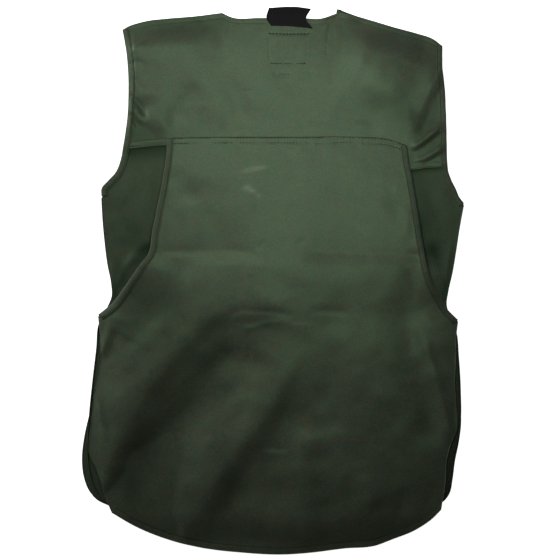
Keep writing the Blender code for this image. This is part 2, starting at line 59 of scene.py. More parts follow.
# Walls and gaps of the solids, and the thinner cloth that shows
CLOTH = 1.4
THIN = 0.9
SEAM_GAP = 0.3
LAYER_GAP = 0.5
RAW_EDGE = 1.75
LAP = 15.0
LAP_HEIGHT = CLOTH + 0.35
STUD_HEIGHT = 2.0
STUD_CLEARANCE = 0.3
STUD_DROPS = (282.0, 372.0, 462.0, 552.0, 642.0)
STUD_SPACE = STUD_CLEARANCE + STUD_HEIGHT + SEAM_GAP
GUSSET_INSET = 3.0
POCKET_SPACE = 2 * (CLOTH + SEAM_GAP)

# Heights of the back's layers, and the drops at which the layers begin and end
UPPER_BACK = 3.2
LOWER_BACK = CLOTH + 0.35
BACK_OVER_POCKET = POCKET_SPACE + CLOTH + 0.5
NECK_RISE = 1.2
PLACKET_RISE = 4.6
YOKE_EDGE = 3.4
YOKE_BULGE = 5.0
POUCH_GAPE = 13.5
PLACKET_TOP = 250.0
POUCH_TOP = 171.0
FRONT_HEM = 698.0
POUCH_CLOSED = 745.0

# Smooth steps of the heights, as (start, end): sideways from the centre, and downwards
FRONT_AT_PLACKET = (20.0, 75.0)
BODY_AT_PLACKET = (24.0, 95.0)
POCKET_SIDE_STEP = (40.0, 95.0)
POCKET_TOP_STEP = (415.0, 475.0)
LAP_STEP_DOWN = (150.0, 225.0)
STUD_STEP_DOWN = (225.0, 265.0)
BODY_RISE_DOWN = (205.0, 262.0)
BODY_SETTLE_DOWN = (262.0, 315.0)
TAIL_FALL_DOWN = (706.0, 750.0)
SHOULDER_SEAM_INNER = (90.0, 112.0)
SHOULDER_SEAM_OUTER = (200.0, 220.0)
SHOULDER_ROLL = (0.0, 35.0)
YOKE_ONTO_BODY = (120.0, 165.0)
POUCH_OFF_YOKE = (222.0, 262.0)
MOUTH_CLOSING = (345.0, 425.0)
YOKE_HALF_WIDTH = 235.0
YOKE_DEPTH = 190.0
YOKE_FULLNESS = 0.8
SIDE_SHARPNESS = 4

# Edges, in rows of (out, drop)
NECKLINE = (
    (-83.8, -6.4), (-71.0, -0.4), (-30.0, 0.7), (27.0, 0.7), (58.2, 1.4), (75.3, -4.3),
    (85.2, -7.8),
)
LEFT_SHOULDER = (
    (-225.8, 17.0), (-217.3, 12.8), (-194.5, 5.7), (-160.5, 1.4), (-126.4, -1.4), (-83.8, -6.4),
)
RIGHT_SHOULDER = (
    (85.2, -7.8), (105.0, -2.8), (133.5, 5.7), (161.9, 14.2), (193.1, 22.7), (213.0, 29.1),
    (230.0, 39.8),
)
YOKE_HEM = (
    (-225.4, 187.4), (-164.7, 181.8), (0.0, 188.0), (130.0, 207.0), (185.3, 217.3), (204.5, 214.4),
    (237.5, 213.0),
)
LEFT_YOKE_ARMHOLE = (
    (-225.8, 17.0), (-221.5, 39.8), (-218.0, 72.4), (-217.3, 103.7), (-218.7, 140.6),
    (-225.4, 187.4),
)
RIGHT_YOKE_ARMHOLE = (
    (230.0, 39.8), (230.0, 72.4), (232.9, 95.1), (234.3, 117.9), (235.7, 163.3), (237.5, 213.0),
)
BODY_TOP = (
    (-222.6, 172.0), (-164.7, 169.0), (0.0, 174.0), (130.0, 193.0), (185.3, 203.0), (236.2, 201.0),
)
LEFT_BODY_ARMHOLE = (
    (-222.6, 172.0), (-227.2, 197.4), (-235.7, 220.1), (-245.7, 231.5), (-255.6, 243.5),
    (-255.6, 254.2),
)
RIGHT_BODY_ARMHOLE = (
    (236.2, 201.0), (238.6, 220.0), (242.8, 231.5), (248.5, 242.8), (254.2, 255.6), (260.6, 264.1),
)
LEFT_SIDE = (
    (-255.6, 254.2), (-254.2, 282.6), (-251.3, 316.7), (-247.0, 350.7), (-241.4, 379.1),
    (-240.7, 396.0), (-247.0, 412.0), (-256.4, 430.0),
)
RIGHT_SIDE = (
    (260.6, 264.1), (254.2, 299.6), (249.9, 328.0), (244.2, 362.1), (237.9, 390.5), (235.7, 409.0),
    (240.0, 423.0), (247.9, 437.4),
)
LEFT_MOUTH = (
    (-161.9, 171.8), (-164.0, 200.0), (-168.3, 230.0), (-176.1, 269.8), (-183.2, 305.3),
    (-188.9, 336.5), (-201.6, 353.6), (-221.5, 382.0), (-241.4, 407.5), (-259.9, 422.5),
)
RIGHT_MOUTH = (
    (178.9, 181.8), (182.0, 205.0), (186.7, 230.0), (191.7, 259.9), (198.8, 305.3), (204.5, 338.0),
    (211.6, 369.2), (224.4, 396.2), (234.3, 411.8), (252.0, 430.3),
)
POUCH_SEAM = (
    (-161.9, 171.8), (-100.0, 170.6), (12.8, 170.4), (112.2, 170.4), (147.7, 172.5), (178.9, 181.8),
)
LEFT_POUCH_SIDE = (
    (-259.9, 422.5), (-257.0, 451.6), (-256.3, 480.0), (-259.9, 509.8), (-264.8, 531.0),
    (-268.4, 568.0), (-272.6, 602.0), (-272.6, 620.5), (-264.1, 637.6), (-255.6, 660.3),
    (-249.9, 681.6), (-240.0, 704.3),
)
RIGHT_POUCH_SIDE = (
    (252.0, 430.3), (249.2, 451.6), (248.5, 485.6), (247.0, 522.6), (248.5, 548.1), (249.2, 586.5),
    (240.0, 610.6), (235.2, 630.5), (233.6, 661.7), (227.2, 700.0),
)
TAIL_HEM = (
    (-240.0, 704.3), (-205.9, 724.2), (-160.5, 742.7), (-115.0, 754.0), (-58.2, 761.0),
    (0.0, 764.0), (44.0, 761.1), (89.5, 755.4), (134.9, 751.2), (157.6, 742.7), (191.7, 728.5),
    (214.4, 712.8), (227.2, 700.0),
)
LEFT_FRONT_ARMHOLE = (
    (-225.8, 18.5), (-215.0, 40.0), (-206.0, 72.0), (-203.0, 104.0), (-205.0, 141.0),
    (-210.0, 165.0), (-219.0, 198.0), (-231.0, 224.0), (-254.2, 254.6),
)
RIGHT_FRONT_ARMHOLE = (
    (230.0, 41.3), (222.0, 72.0), (218.0, 104.0), (217.5, 141.0), (219.0, 170.0), (224.0, 205.0),
    (233.0, 232.0), (258.9, 265.0),
)
LEFT_FRONT_SIDE = (
    (-254.2, 254.6), (-252.8, 282.6), (-249.9, 316.7), (-245.6, 350.7), (-240.2, 379.1),
    (-239.6, 396.0), (-248.0, 414.0), (-259.4, 436.0), (-262.7, 470.0), (-268.0, 515.5),
    (-272.6, 560.9), (-275.0, 595.0), (-275.4, 626.2), (-271.6, 651.8), (-263.0, 674.0),
    (-246.0, 692.0),
)
RIGHT_FRONT_SIDE = (
    (258.9, 265.0), (252.8, 299.6), (248.5, 328.0), (242.8, 362.1), (236.6, 390.5), (234.6, 409.0),
    (240.5, 425.0), (249.2, 445.9), (252.8, 481.4), (255.6, 529.7), (255.0, 579.4), (249.5, 606.3),
    (243.0, 630.5), (238.4, 657.5), (233.0, 675.0), (222.0, 692.0),
)
LEFT_NECK_EDGE = ((-83.8, -4.0), (-74.0, 40.0), (-52.0, 110.0), (-22.0, 180.0), (LAP, PLACKET_TOP))
RIGHT_NECK_EDGE = ((79.5, -12.4), (72.0, 40.0), (52.0, 110.0), (22.0, 180.0), (-LAP, PLACKET_TOP))
LEFT_POCKET_SIDE = (
    (-255.0, 480.0), (-263.0, 515.5), (-272.0, 560.9), (-279.7, 595.0), (-283.3, 626.2),
    (-281.2, 651.8), (-272.6, 674.5), (-262.7, 685.9), (-246.0, 694.5),
)
RIGHT_POCKET_SIDE = (
    (248.0, 480.0), (252.5, 529.7), (256.3, 579.4), (252.8, 606.3), (247.8, 630.5), (244.2, 657.5),
    (240.0, 677.3), (231.5, 688.7), (216.0, 695.0),
)
POCKET_INNER = 108.0
POCKET_TOP = 480.0
POCKET_BOTTOM = 696.0
LEFT_HEM_CORNER = -225.0
RIGHT_HEM_CORNER = 205.0
BODY_TUCK = 2.0
TAIL_TUCK_SHARE = 0.985
TAB_TOP = ((-17.0, -14.2), (21.3, -15.6), (42.6, -12.8))
TAB_BOTTOM = ((-14.2, 11.4), (12.8, 12.1), (44.7, 15.6))
TAB_LEFT = ((-17.0, -14.2), (-20.6, 0.0), (-14.2, 11.4))
TAB_RIGHT = ((42.6, -12.8), (35.5, 1.8), (44.7, 15.6))
TAB_TIP_HEIGHT = 1.6
TAB_BEND = (-14.0, -1.5)
TAB_NECKLINE = 1.0

# Creases begin
# Creases: (height, widths, sharpness, tapers, route), as creases() reads them
YOKE_CREASES = (
    (6.0, (20.0, 60.0), 2.0, (0.1, 0.45), ((-220.9, 48.0), (-175.5, 45.2), (-130.0, 42.4),
        (-78.9, 33.8))),
    (6.0, (20.0, 60.0), 2.0, (0.25, 0.1), ((84.8, 34.7), (138.8, 50.3), (184.2, 65.9), (235.3, 88.7))),
    (-0.19, (30.2, 24.4), 2.0, (0.3, 0.3), ((-63.9, 49.6), (-83.8, 95.1), (-106.5, 140.5))),
    (1.3, (9.0, 30.0), 1.9, (0.2, 0.3), ((122.3, 41.7), (102.4, 87.1), (75.5, 126.9), (55.6, 161.0))),
    (2.5, (17.4, 26.0), 2.0, (0.3, 0.3), ((128.0, 149.1), (164.9, 151.9), (201.9, 146.2))),
    (-1.24, (33.3, 30.9), 2.0, (0.4, 0.4), ((-16.0, 48.9), (20.9, 80.1), (26.6, 128.4))),
    (0.58, (14.8, 13.7), 2.0, (0.2, 0.3), ((-105.6, 12.1), (-97.1, 32.0), (-91.4, 54.7))),
    (-3.6, (3.6, 5.6), 1.4, (0.0, 0.4), ((-213.0, 111.6), (-201.6, 122.9), (-187.4, 147.1))),
    (-0.6, (6.0, 4.0), 1.6, (0.0, 0.4), ((-211.7, 103.8), (-196.1, 115.1), (-180.5, 137.8))),
    (-4.2, (3.9, 5.2), 1.4, (0.0, 0.4), ((-213.5, 139.5), (-203.6, 152.3), (-190.8, 177.9))),
    (-1.0, (4.0, 4.0), 1.5, (0.0, 0.5), ((-213.0, 65.3), (-201.6, 63.9), (-188.9, 69.6))),
    (0.9, (4.5, 4.0), 1.5, (0.0, 0.5), ((-211.6, 49.7), (-203.1, 39.8), (-190.3, 28.4))),
    (-0.9, (4.0, 4.0), 1.5, (0.0, 0.5), ((-211.6, 38.3), (-200.2, 29.8), (-188.9, 22.7))),
    (-0.9, (4.5, 4.5), 1.5, (0.0, 0.5), ((-211.6, 89.5), (-200.2, 98.0), (-188.9, 113.6))),
    (-2.45, (4.9, 7.8), 1.6, (0.15, 0.2), ((181.0, 201.5), (206.6, 185.9), (235.0, 167.4))),
    (3.68, (5.0, 6.0), 1.7, (0.2, 0.2), ((181.6, 189.1), (204.3, 173.5), (232.7, 149.3))),
    (3.47, (5.8, 5.9), 1.7, (0.2, 0.2), ((185.7, 205.6), (211.2, 195.6), (234.0, 180.0))),
    (-1.51, (4.0, 5.0), 1.6, (0.2, 0.2), ((200.7, 211.0), (217.7, 202.5), (236.2, 192.5))),
    (-0.84, (5.0, 5.0), 1.6, (0.1, 0.5), ((231.6, 61.0), (221.7, 78.1), (217.4, 100.8))),
    (0.85, (5.0, 5.1), 1.6, (0.1, 0.5), ((232.4, 105.8), (221.0, 117.1), (211.1, 137.0))),
    (-0.47, (9.2, 5.0), 1.8, (0.3, 0.3), ((-129.2, 161.5), (-58.2, 160.1), (12.8, 161.5))),
    (1.09, (7.8, 8.0), 1.8, (0.3, 0.3), ((27.1, 145.2), (83.9, 150.9), (140.7, 156.6))),
    (-0.5, (3.0, 3.0), 1.5, (0.2, 0.2), ((-12.8, 79.5), (1.4, 82.4), (15.6, 79.5))),
    (-3.0, (19.0, 13.0), 2.0, (0.3, 0.3), ((-112.2, 89.5), (-137.7, 120.7), (-169.0, 154.8))),
    (-2.4, (16.0, 14.0), 2.0, (0.4, 0.4), ((-78.1, 69.6), (-63.9, 115.0), (-46.9, 160.5))),
    (5.4, (45.0, 24.0), 2.0, (0.45, 0.4), ((92.3, 89.5), (137.7, 95.1), (191.7, 115.0))),
    (4.6, (40.0, 22.0), 2.0, (0.1, 0.4), ((-220.1, 140.6), (-186.0, 143.4), (-146.3, 151.9))),
    (-3.4, (18.0, 12.0), 2.0, (0.3, 0.1), ((-197.4, 106.5), (-191.7, 146.3), (-194.5, 183.2))),
    (-0.9, (12.0, 16.0), 2.0, (0.3, 0.1), ((220.1, 95.1), (217.3, 134.9), (222.9, 163.3))),
)
POUCH_CREASES = (
    (-0.58, (10.0, 14.0), 2.0, (0.1, 0.6), ((15.8, 183.2), (7.2, 211.6), (4.4, 245.7))),
    (0.35, (12.0, 10.0), 2.0, (0.1, 0.6), ((-27.0, 183.2), (-21.3, 211.6), (-27.0, 242.9))),
    (-0.57, (10.1, 10.1), 2.0, (0.1, 0.6), ((-61.0, 183.2), (-58.1, 208.8), (-63.8, 237.2))),
    (-0.49, (12.4, 12.3), 2.0, (0.1, 0.6), ((58.3, 183.3), (52.6, 217.3), (44.1, 254.3))),
    (-1.54, (17.2, 17.5), 2.0, (0.2, 0.4), ((-155.3, 212.9), (-138.2, 247.0), (-101.3, 264.0))),
    (0.43, (19.4, 21.9), 2.0, (0.3, 0.3), ((-149.7, 280.6), (-129.9, 303.4), (-95.8, 311.9))),
    (0.86, (14.7, 11.9), 2.0, (0.2, 0.5), ((129.9, 244.7), (147.0, 276.0), (155.5, 310.0))),
    (1.01, (7.1, 13.4), 1.9, (0.3, 0.3), ((178.3, 262.0), (178.3, 293.3), (172.6, 324.5))),
    (1.1, (2.6, 3.6), 1.3, (0.3, 0.3), ((-55.4, 221.5), (-41.2, 214.4), (-21.3, 215.8))),
    (1.1, (2.6, 3.6), 1.3, (0.3, 0.3), ((-51.1, 241.4), (-41.2, 247.1), (-27.0, 257.0))),
    (-1.7, (14.0, 5.0), 1.3, (0.1, 0.2), ((-171.8, 333.7), (-100.8, 333.7), (-27.0, 335.1))),
    (-1.9, (12.0, 7.0), 1.3, (0.2, 0.1), ((15.6, 333.7), (98.0, 335.1), (211.6, 339.4))),
    (1.2, (9.0, 44.0), 2.0, (0.15, 0.15), ((-149.3, 352.0), (-72.6, 353.4), (26.8, 354.8),
        (112.0, 356.2), (202.9, 357.6))),
    (-1.2, (3.6, 3.6), 1.4, (0.1, 0.5), ((-34.1, 330.9), (-27.0, 322.3), (-18.5, 315.2))),
    (-1.5, (3.0, 3.0), 1.3, (0.1, 0.4), ((21.3, 323.8), (28.4, 319.5), (38.3, 313.8))),
    (-0.82, (12.4, 19.1), 2.0, (0.3, 0.3), ((-174.2, 315.3), (-162.8, 346.5), (-137.2, 380.6))),
    (-1.42, (18.2, 15.5), 2.0, (0.3, 0.3), ((205.5, 330.2), (191.3, 355.8), (177.1, 384.2))),
    (-1.5, (7.0, 4.0), 1.6, (0.25, 0.3), ((-83.8, 427.4), (-58.2, 417.5), (-24.1, 417.5), (27.0, 424.6))),
    (-0.9, (7.0, 4.0), 1.6, (0.3, 0.3), ((35.5, 418.9), (69.6, 417.5), (100.8, 421.7))),
    (1.2, (4.0, 6.0), 1.5, (0.3, 0.3), ((-72.4, 433.1), (-49.7, 441.6), (-15.6, 433.1), (24.1, 433.1))),
    (-10.0, (46.0, 31.0), 2.0, (0.15, 0.05), ((-41.3, 452.1), (-69.7, 484.7), (-93.8, 511.7),
        (-116.5, 541.5), (-137.8, 567.1), (-162.0, 604.0), (-180.4, 638.1), (-196.1, 670.8),
        (-208.8, 699.2), (-221.6, 719.0))),
    (4.0, (17.0, 42.0), 2.0, (0.2, 0.2), ((-78.8, 404.2), (-118.6, 441.1), (-147.0, 469.5),
        (-169.7, 499.4), (-191.0, 527.8), (-215.1, 566.1), (-235.0, 608.7))),
    (4.3, (19.0, 30.0), 2.0, (0.25, 0.15), ((39.4, 457.5), (16.7, 488.7), (-4.6, 524.2),
        (-23.1, 558.3), (-44.4, 586.7), (-64.2, 613.7), (-87.0, 646.4), (-106.8, 677.6),
        (-125.3, 706.0))),
    (-3.0, (34.0, 16.0), 2.0, (0.25, 0.1), ((32.6, 516.0), (15.6, 550.0), (-0.1, 585.5),
        (-21.4, 613.9), (-41.2, 639.5), (-62.5, 672.2), (-82.4, 703.4), (-100.9, 731.8))),
    (0.51, (23.5, 24.4), 2.0, (0.4, 0.4), ((-149.1, 609.5), (-120.7, 601.0), (-83.8, 589.6))),
    (2.2, (30.0, 30.0), 2.0, (0.4, 0.4), ((-142.6, 359.7), (-100.0, 382.4), (-63.0, 393.8))),
    (-3.91, (49.5, 47.3), 2.0, (0.4, 0.4), ((0.0, 189.4), (0.0, 246.2), (2.9, 317.2))),
    (0.54, (31.4, 29.4), 2.0, (0.4, 0.4), ((-108.8, 202.2), (-114.5, 244.8), (-120.2, 287.4))),
    (-0.8, (20.3, 19.6), 2.0, (0.4, 0.4), ((-26.9, 347.3), (12.8, 387.1), (69.6, 401.3))),
    (0.49, (22.0, 22.9), 2.0, (0.4, 0.4), ((69.3, 348.0), (97.7, 373.6), (140.3, 396.3))),
    (1.97, (23.7, 24.0), 2.0, (0.4, 0.4), ((-58.5, 473.0), (-64.1, 504.2), (-78.3, 538.3))),
    (2.49, (13.3, 23.7), 2.0, (0.3, 0.3), ((10.5, 602.9), (53.1, 600.1), (101.3, 588.7))),
    (-0.27, (20.0, 18.0), 2.0, (0.3, 0.3), ((52.6, 472.9), (66.8, 515.5), (78.1, 555.2))),
    (0.61, (20.0, 20.1), 2.0, (0.3, 0.3), ((92.3, 458.6), (106.5, 504.1), (112.2, 549.5))),
    (1.19, (22.2, 14.1), 2.0, (0.3, 0.3), ((27.1, 685.8), (64.0, 680.1), (98.1, 651.7))),
    (-4.0, (20.0, 34.0), 2.0, (0.3, 0.15), ((155.7, 374.6), (172.8, 420.1), (187.0, 468.4),
        (199.8, 519.5), (212.5, 570.6), (221.1, 621.7))),
    (3.0, (7.0, 14.0), 1.8, (0.45, 0.15), ((183.2, 410.4), (198.8, 450.1), (213.0, 489.9),
        (225.8, 532.5), (235.7, 572.3), (242.8, 614.9))),
    (0.16, (16.0, 15.9), 2.0, (0.3, 0.3), ((129.3, 416.0), (149.2, 481.4), (160.5, 558.0))),
    (1.85, (6.0, 8.0), 1.7, (0.3, 0.3), ((-237.1, 433.1), (-248.5, 458.6), (-258.4, 489.9))),
    (-1.0, (8.0, 6.0), 1.8, (0.3, 0.3), ((-225.8, 427.5), (-237.1, 458.8), (-248.5, 495.7))),
    (-1.2, (12.0, 16.0), 2.0, (0.3, 0.3), ((-177.1, 419.7), (-199.8, 442.4), (-228.2, 473.6))),
    (1.51, (4.0, 7.0), 1.6, (0.3, 0.3), ((-262.8, 538.2), (-255.7, 566.6), (-247.1, 609.2))),
    (-0.98, (5.0, 5.0), 1.6, (0.3, 0.3), ((-256.8, 532.5), (-246.8, 563.7), (-236.9, 600.7))),
    (-0.8, (3.5, 3.0), 1.5, (0.3, 0.3), ((-27.0, 610.6), (-7.1, 613.4), (9.9, 616.3))),
    (0.8, (3.0, 4.0), 1.5, (0.3, 0.3), ((-27.0, 616.3), (-4.3, 619.1), (12.8, 620.5))),
    (1.82, (25.0, 23.8), 2.0, (0.4, 0.4), ((-32.5, 721.2), (21.4, 732.6), (83.9, 721.2))),
    (1.56, (16.3, 11.9), 1.9, (0.3, 0.3), ((112.4, 643.1), (120.9, 674.4), (138.0, 702.8))),
    (-0.94, (12.0, 12.0), 2.0, (0.3, 0.3), ((166.2, 666.1), (174.7, 691.7), (174.7, 714.4))),
    (-3.14, (11.4, 11.8), 2.0, (0.3, 0.3), ((-186.9, 685.8), (-169.8, 714.2), (-138.6, 734.1))),
    (3.2, (34.0, 66.0), 2.0, (0.25, 0.25), ((-183.2, 364.9), (-72.4, 366.4), (27.0, 367.8),
        (214.4, 370.6))),
    (1.6, (16.0, 30.0), 2.0, (0.4, 0.0), ((-109.3, 680.2), (-129.2, 711.4), (-146.3, 748.3))),
    (3.6, (32.0, 17.0), 2.0, (0.3, 0.3), ((-140.6, 433.1), (-95.1, 417.5), (-32.7, 410.4),
        (32.7, 418.9))),
    (4.0, (50.0, 16.0), 2.0, (0.15, 0.3), ((-186.0, 330.9), (-200.2, 364.9), (-231.5, 401.9),
        (-262.7, 427.4), (-271.2, 464.3))),
    (-3.4, (32.0, 14.0), 2.0, (0.5, 0.1), ((-183.2, 577.9), (-211.6, 637.6), (-231.5, 694.4))),
    (2.4, (12.0, 20.0), 2.0, (0.3, 0.2), ((-225.8, 586.5), (-245.7, 637.6), (-254.2, 683.0))),
    (4.4, (80.0, 33.0), 2.0, (0.3, 0.3), ((-27.0, 708.6), (69.6, 714.3), (186.0, 688.7))),
    (-2.0, (30.0, 20.0), 2.0, (0.3, 0.3), ((-41.2, 470.0), (-49.7, 504.1), (-63.9, 541.0))),
)
BODY_CREASES = (
    (1.8, (6.0, 7.0), 1.7, (0.2, 0.4), ((-181.8, 313.8), (-200.2, 328.0), (-220.1, 356.4))),
    (2.4, (6.0, 6.0), 1.7, (0.3, 0.3), ((-200.2, 333.7), (-217.3, 350.7), (-234.3, 387.7))),
    (1.5, (5.0, 6.0), 1.7, (0.3, 0.3), ((-240.0, 342.2), (-240.0, 367.8), (-240.0, 401.9))),
    (1.6, (8.0, 8.0), 1.8, (0.3, 0.3), ((-248.5, 274.1), (-231.5, 305.3), (-217.3, 322.3))),
    (1.0, (10.0, 10.0), 2.0, (0.3, 0.3), ((-205.9, 200.2), (-214.4, 234.3), (-228.6, 265.5))),
    (0.8, (9.0, 9.0), 2.0, (0.3, 0.3), ((-177.5, 197.4), (-186.0, 242.8), (-197.4, 288.3))),
    (2.0, (6.0, 8.0), 1.7, (0.3, 0.3), ((203.1, 313.8), (217.3, 347.9), (227.2, 379.1))),
    (1.7, (6.0, 6.0), 1.7, (0.3, 0.3), ((242.8, 316.7), (237.1, 347.9), (234.3, 390.5))),
    (1.2, (7.0, 7.0), 1.8, (0.3, 0.3), ((188.9, 240.0), (203.1, 265.5), (214.4, 296.8))),
    (0.9, (9.0, 9.0), 2.0, (0.3, 0.3), ((225.8, 234.3), (234.3, 265.5), (242.8, 296.8))),
    (1.4, (12.0, 12.0), 2.0, (0.4, 0.4), ((-58.2, 288.3), (-1.4, 330.9), (55.4, 296.8))),
    (1.6, (12.0, 12.0), 2.0, (0.4, 0.4), ((-86.6, 401.9), (12.8, 444.5), (98.0, 427.4))),
)
FRONT_CREASES = (
    (3.0, (10.0, 12.0), 2.0, (0.3, 0.3), ((-186.0, 132.1), (-157.6, 203.1), (-163.3, 288.3))),
    (2.4, (9.0, 8.0), 1.8, (0.3, 0.3), ((-115.0, 103.7), (-95.1, 188.9), (-69.6, 245.7))),
    (2.8, (10.0, 9.0), 1.9, (0.3, 0.3), ((169.0, 132.1), (140.6, 217.3), (157.6, 302.5))),
    (2.2, (8.0, 9.0), 1.8, (0.3, 0.3), ((83.8, 117.9), (69.6, 188.9), (49.7, 245.7))),
    (2.6, (12.0, 10.0), 2.0, (0.3, 0.3), ((-186.0, 345.1), (-115.0, 373.5), (-49.7, 367.8))),
    (2.6, (12.0, 10.0), 2.0, (0.3, 0.3), ((183.2, 359.3), (120.7, 382.0), (55.4, 376.3))),
)
TAB_CREASES = (
    (0.5, (2.5, 2.5), 1.6, (0.1, 0.1), ((-21.3, 2.8), (4.3, 1.7), (35.5, 2.6))),
    (-0.35, (2.0, 2.5), 1.6, (0.1, 0.1), ((-21.3, 5.4), (4.3, 4.5), (38.3, 5.1))),
    (0.3, (3.0, 3.0), 1.8, (0.2, 0.4), ((27.0, -12.8), (31.2, -5.7), (31.2, 1.4))),
)
# Creases end

# Rows sewn on the yoke round the tab's anchor and beside the neck: (route, pitch, radius, share kept,
# depth of the groove that they pull)
YOKE_ROWS = (
    (((-17.8, 4.0), (-18.5, 36.0), (-17.8, 64.0)), 3.4, 0.2, 0.6, 0.22),
    (((34.8, 17.0), (35.5, 40.0), (34.8, 64.0)), 3.4, 0.2, 0.6, 0.25),
    (((-15.6, 65.3), (8.0, 65.8), (35.5, 65.3)), 3.4, 0.6, 0.8, 0.35),
    (((-18.5, 22.7), (10.0, 23.8), (41.2, 23.2)), 4.6, 0.85, 1.0, 0.9),
    (((-9.9, 80.6), (12.8, 81.2)), 3.0, 0.42, 0.8, 0.3),
    (((68.2, 5.7), (65.3, 30.0), (63.9, 59.6)), 4.4, 0.2, 0.6, 0.3),
    (((63.9, 2.6), (75.3, -1.6), (83.0, -4.8)), 3.0, 0.6, 1.0, 0.6),
    (((-55.4, 103.7), (-38.3, 103.0)), 4.0, 0.3, 0.7, 0.2),
)

# Soft oval spots painted into the cloth's colour, darker where the share is above 0, lighter below 0:
# (out, drop, half width, half height, share). On the body: painted shade beside the mouths, one painted
# highlight.
BODY_PAINTED_LIGHT_AND_SHADE = (
    (-194.0, 328.0, 21.0, 19.0, 0.74), (-228.0, 362.0, 9.0, 16.0, 0.65), (-214.0, 300.0, 12.0, 14.0, 0.25),
    (-236.0, 395.0, 6.0, 14.0, 0.5), (212.0, 330.0, 13.0, 14.0, 0.85), (200.0, 292.0, 10.0, 26.0, 0.35),
    (216.0, 364.0, 12.0, 10.0, -0.7), (233.0, 392.0, 6.0, 18.0, 0.5), (-180.0, 250.0, 8.0, 30.0, 0.2),
)
# Painted shade on the yoke: along the shoulders, at its lower corners and in its folds
YOKE_PAINTED_SHADE = (
    (-150.0, 12.0, 75.0, 24.0, 0.4), (-84.0, 10.0, 30.0, 20.0, 0.15), (165.0, 32.0, 80.0, 26.0, 0.3),
    (-196.0, 166.0, 34.0, 24.0, 0.5), (-214.0, 130.0, 16.0, 24.0, 0.3), (150.0, 128.0, 46.0, 22.0, 0.28),
    (214.0, 176.0, 24.0, 40.0, 0.35), (196.0, 150.0, 30.0, 30.0, 0.2),
)
# On the pouch: painted shade in the main folds, painted light on broad ridges, and a few small pale lines and
# specks
POUCH_PAINTED_LIGHT_SHADE_AND_MARKS = (
    (-186.0, 405.0, 50.0, 46.0, 0.4), (-215.0, 448.0, 36.0, 30.0, 0.25), (-112.0, 476.0, 44.0, 34.0, 0.35),
    (-64.0, 434.0, 60.0, 16.0, 0.3), (-160.0, 545.0, 34.0, 40.0, 0.25), (-196.0, 605.0, 24.0, 44.0, 0.4),
    (-214.0, 664.0, 18.0, 36.0, 0.4), (-40.0, 590.0, 60.0, 22.0, -0.2), (-130.0, 590.0, 34.0, 22.0, -0.25),
    (60.0, 600.0, 60.0, 30.0, -0.25), (40.0, 710.0, 110.0, 24.0, -0.2), (170.0, 600.0, 40.0, 40.0, -0.1),
    (-48.0, 219.0, 8.0, 2.6, -0.8), (-36.0, 215.5, 8.0, 2.6, -0.9), (-26.0, 213.5, 7.0, 2.6, -0.6),
    (-49.0, 242.0, 6.0, 3.2, -0.8), (-41.0, 247.0, 6.0, 3.2, -0.9), (-32.0, 254.0, 5.0, 3.4, -0.7),
    (22.0, 435.0, 18.0, 2.6, -0.5), (-150.0, 455.0, 3.0, 3.0, -0.6),
)

# A tape's section: (distance inwards from the finished edge, height over the panel's upper side).
# It rolls over the edge, is pressed down by its stitching, and its turned-under half grips the panel.
TAPE_SECTION = (
    (0.0, -0.45), (0.15, 0.25), (0.55, 0.78), (1.3, 1.04), (2.8, 1.16), (4.6, 1.20), (6.1, 1.12),
    (7.0, 0.92), (7.45, 0.66), (7.9, 0.88), (8.4, 0.92), (8.8, 0.82), (9.0, 0.56), (8.8, 0.32),
    (7.5, 0.16), (4.0, 0.24), (1.6, 0.2), (1.05, 0.0), (0.95, -0.5), (1.15, -0.86), (2.2, -0.98),
    (7.0, -0.98), (7.5, -1.04), (7.7, -1.18), (7.4, -1.34), (4.0, -1.38), (1.3, -1.36), (0.45, -1.2),
    (0.1, -0.9),
)
TAPE_REFERENCE = 9.0
TAPE_ROLL = 2.0
BACK_TAPE = 9.0
FRONT_TAPE = 7.0
TAPE_STITCH_FROM_INNER = 1.55
TAPE_WAVER = (0.16, 11.0)
TAPE_SWELL = (0.1, 6.0)

# Runs down the edges of the yoke and the pouch, by which distances from seams and hems are measured
YOKE_LENGTH = 175.0
MOUTH_RUN = 290.0
SIDE_RUN = 292.0
POUCH_HALF_WIDTH = 170.0

# How creases are measured: pieces of a route, and widths within which a crease is worked out
CREASE_STEPS = 14
CREASE_REACH = 2.6

# Slight unevenness of cloth: (height, size of its waves, seed), and the lattice that it comes from
LATTICE = 61
YOKE_WAVES = ((0.4, 28.0, 11), (0.12, 9.0, 12))
POUCH_FINE_WAVES = ((0.16, 11.0, 22),)
POUCH_WAVES_GROW = (380.0, 460.0)

# Grooves that stitching pulls: (distance from the seam or hem, width, depth)
YOKE_HEM_GROOVES = ((2.0, 0.9, 0.3), (8.5, 0.9, 0.3))
NECK_GROOVE = (6.0, 0.9, 0.25)
SEAM_GROOVES = ((1.6, 0.9, 0.35), (8.6, 1.0, 0.45))
POUCH_HEM_GROOVE = (9.0, 0.9, 0.2)
POUCH_HEM_FOLD = (8.0, 9.6)

# Rims, thread and the distance over which a raw edge is moved in
EDGE_FADE = 12.0
RIM_ANGLES = np.radians((55.0, 18.0, -18.0, -55.0))
STITCH_SIDES = 5
# Rings of a stitch: (share along it, share of the thread's radius)
STITCH_RINGS = ((-0.5, 0.0), (-0.42, 0.75), (-0.2, 1.0), (0.2, 1.0), (0.42, 0.75), (0.5, 0.0))

# Camera and light, in metres
FRAME_WIDTH = 0.7952
CAMERA_X = 0.00998
CAMERA_Y = 0.00074
CAMERA_DISTANCE = 3.0
SENSOR_WIDTH = 36.0
CLOTH_LEVEL = 0.012
FLOOR_HALF = 3
FLOOR_DROP = -0.0002
KEY_SPREAD = 2.0
WORLD_STRENGTH = 0.06


def ramp(value, start, end):
    """0 before start, 1 after end, and the smooth S 3t^2 - 2t^3 between them."""
    t = np.clip((value - start) / (end - start), 0.0, 1.0)
    return t * t * (3.0 - 2.0 * t)


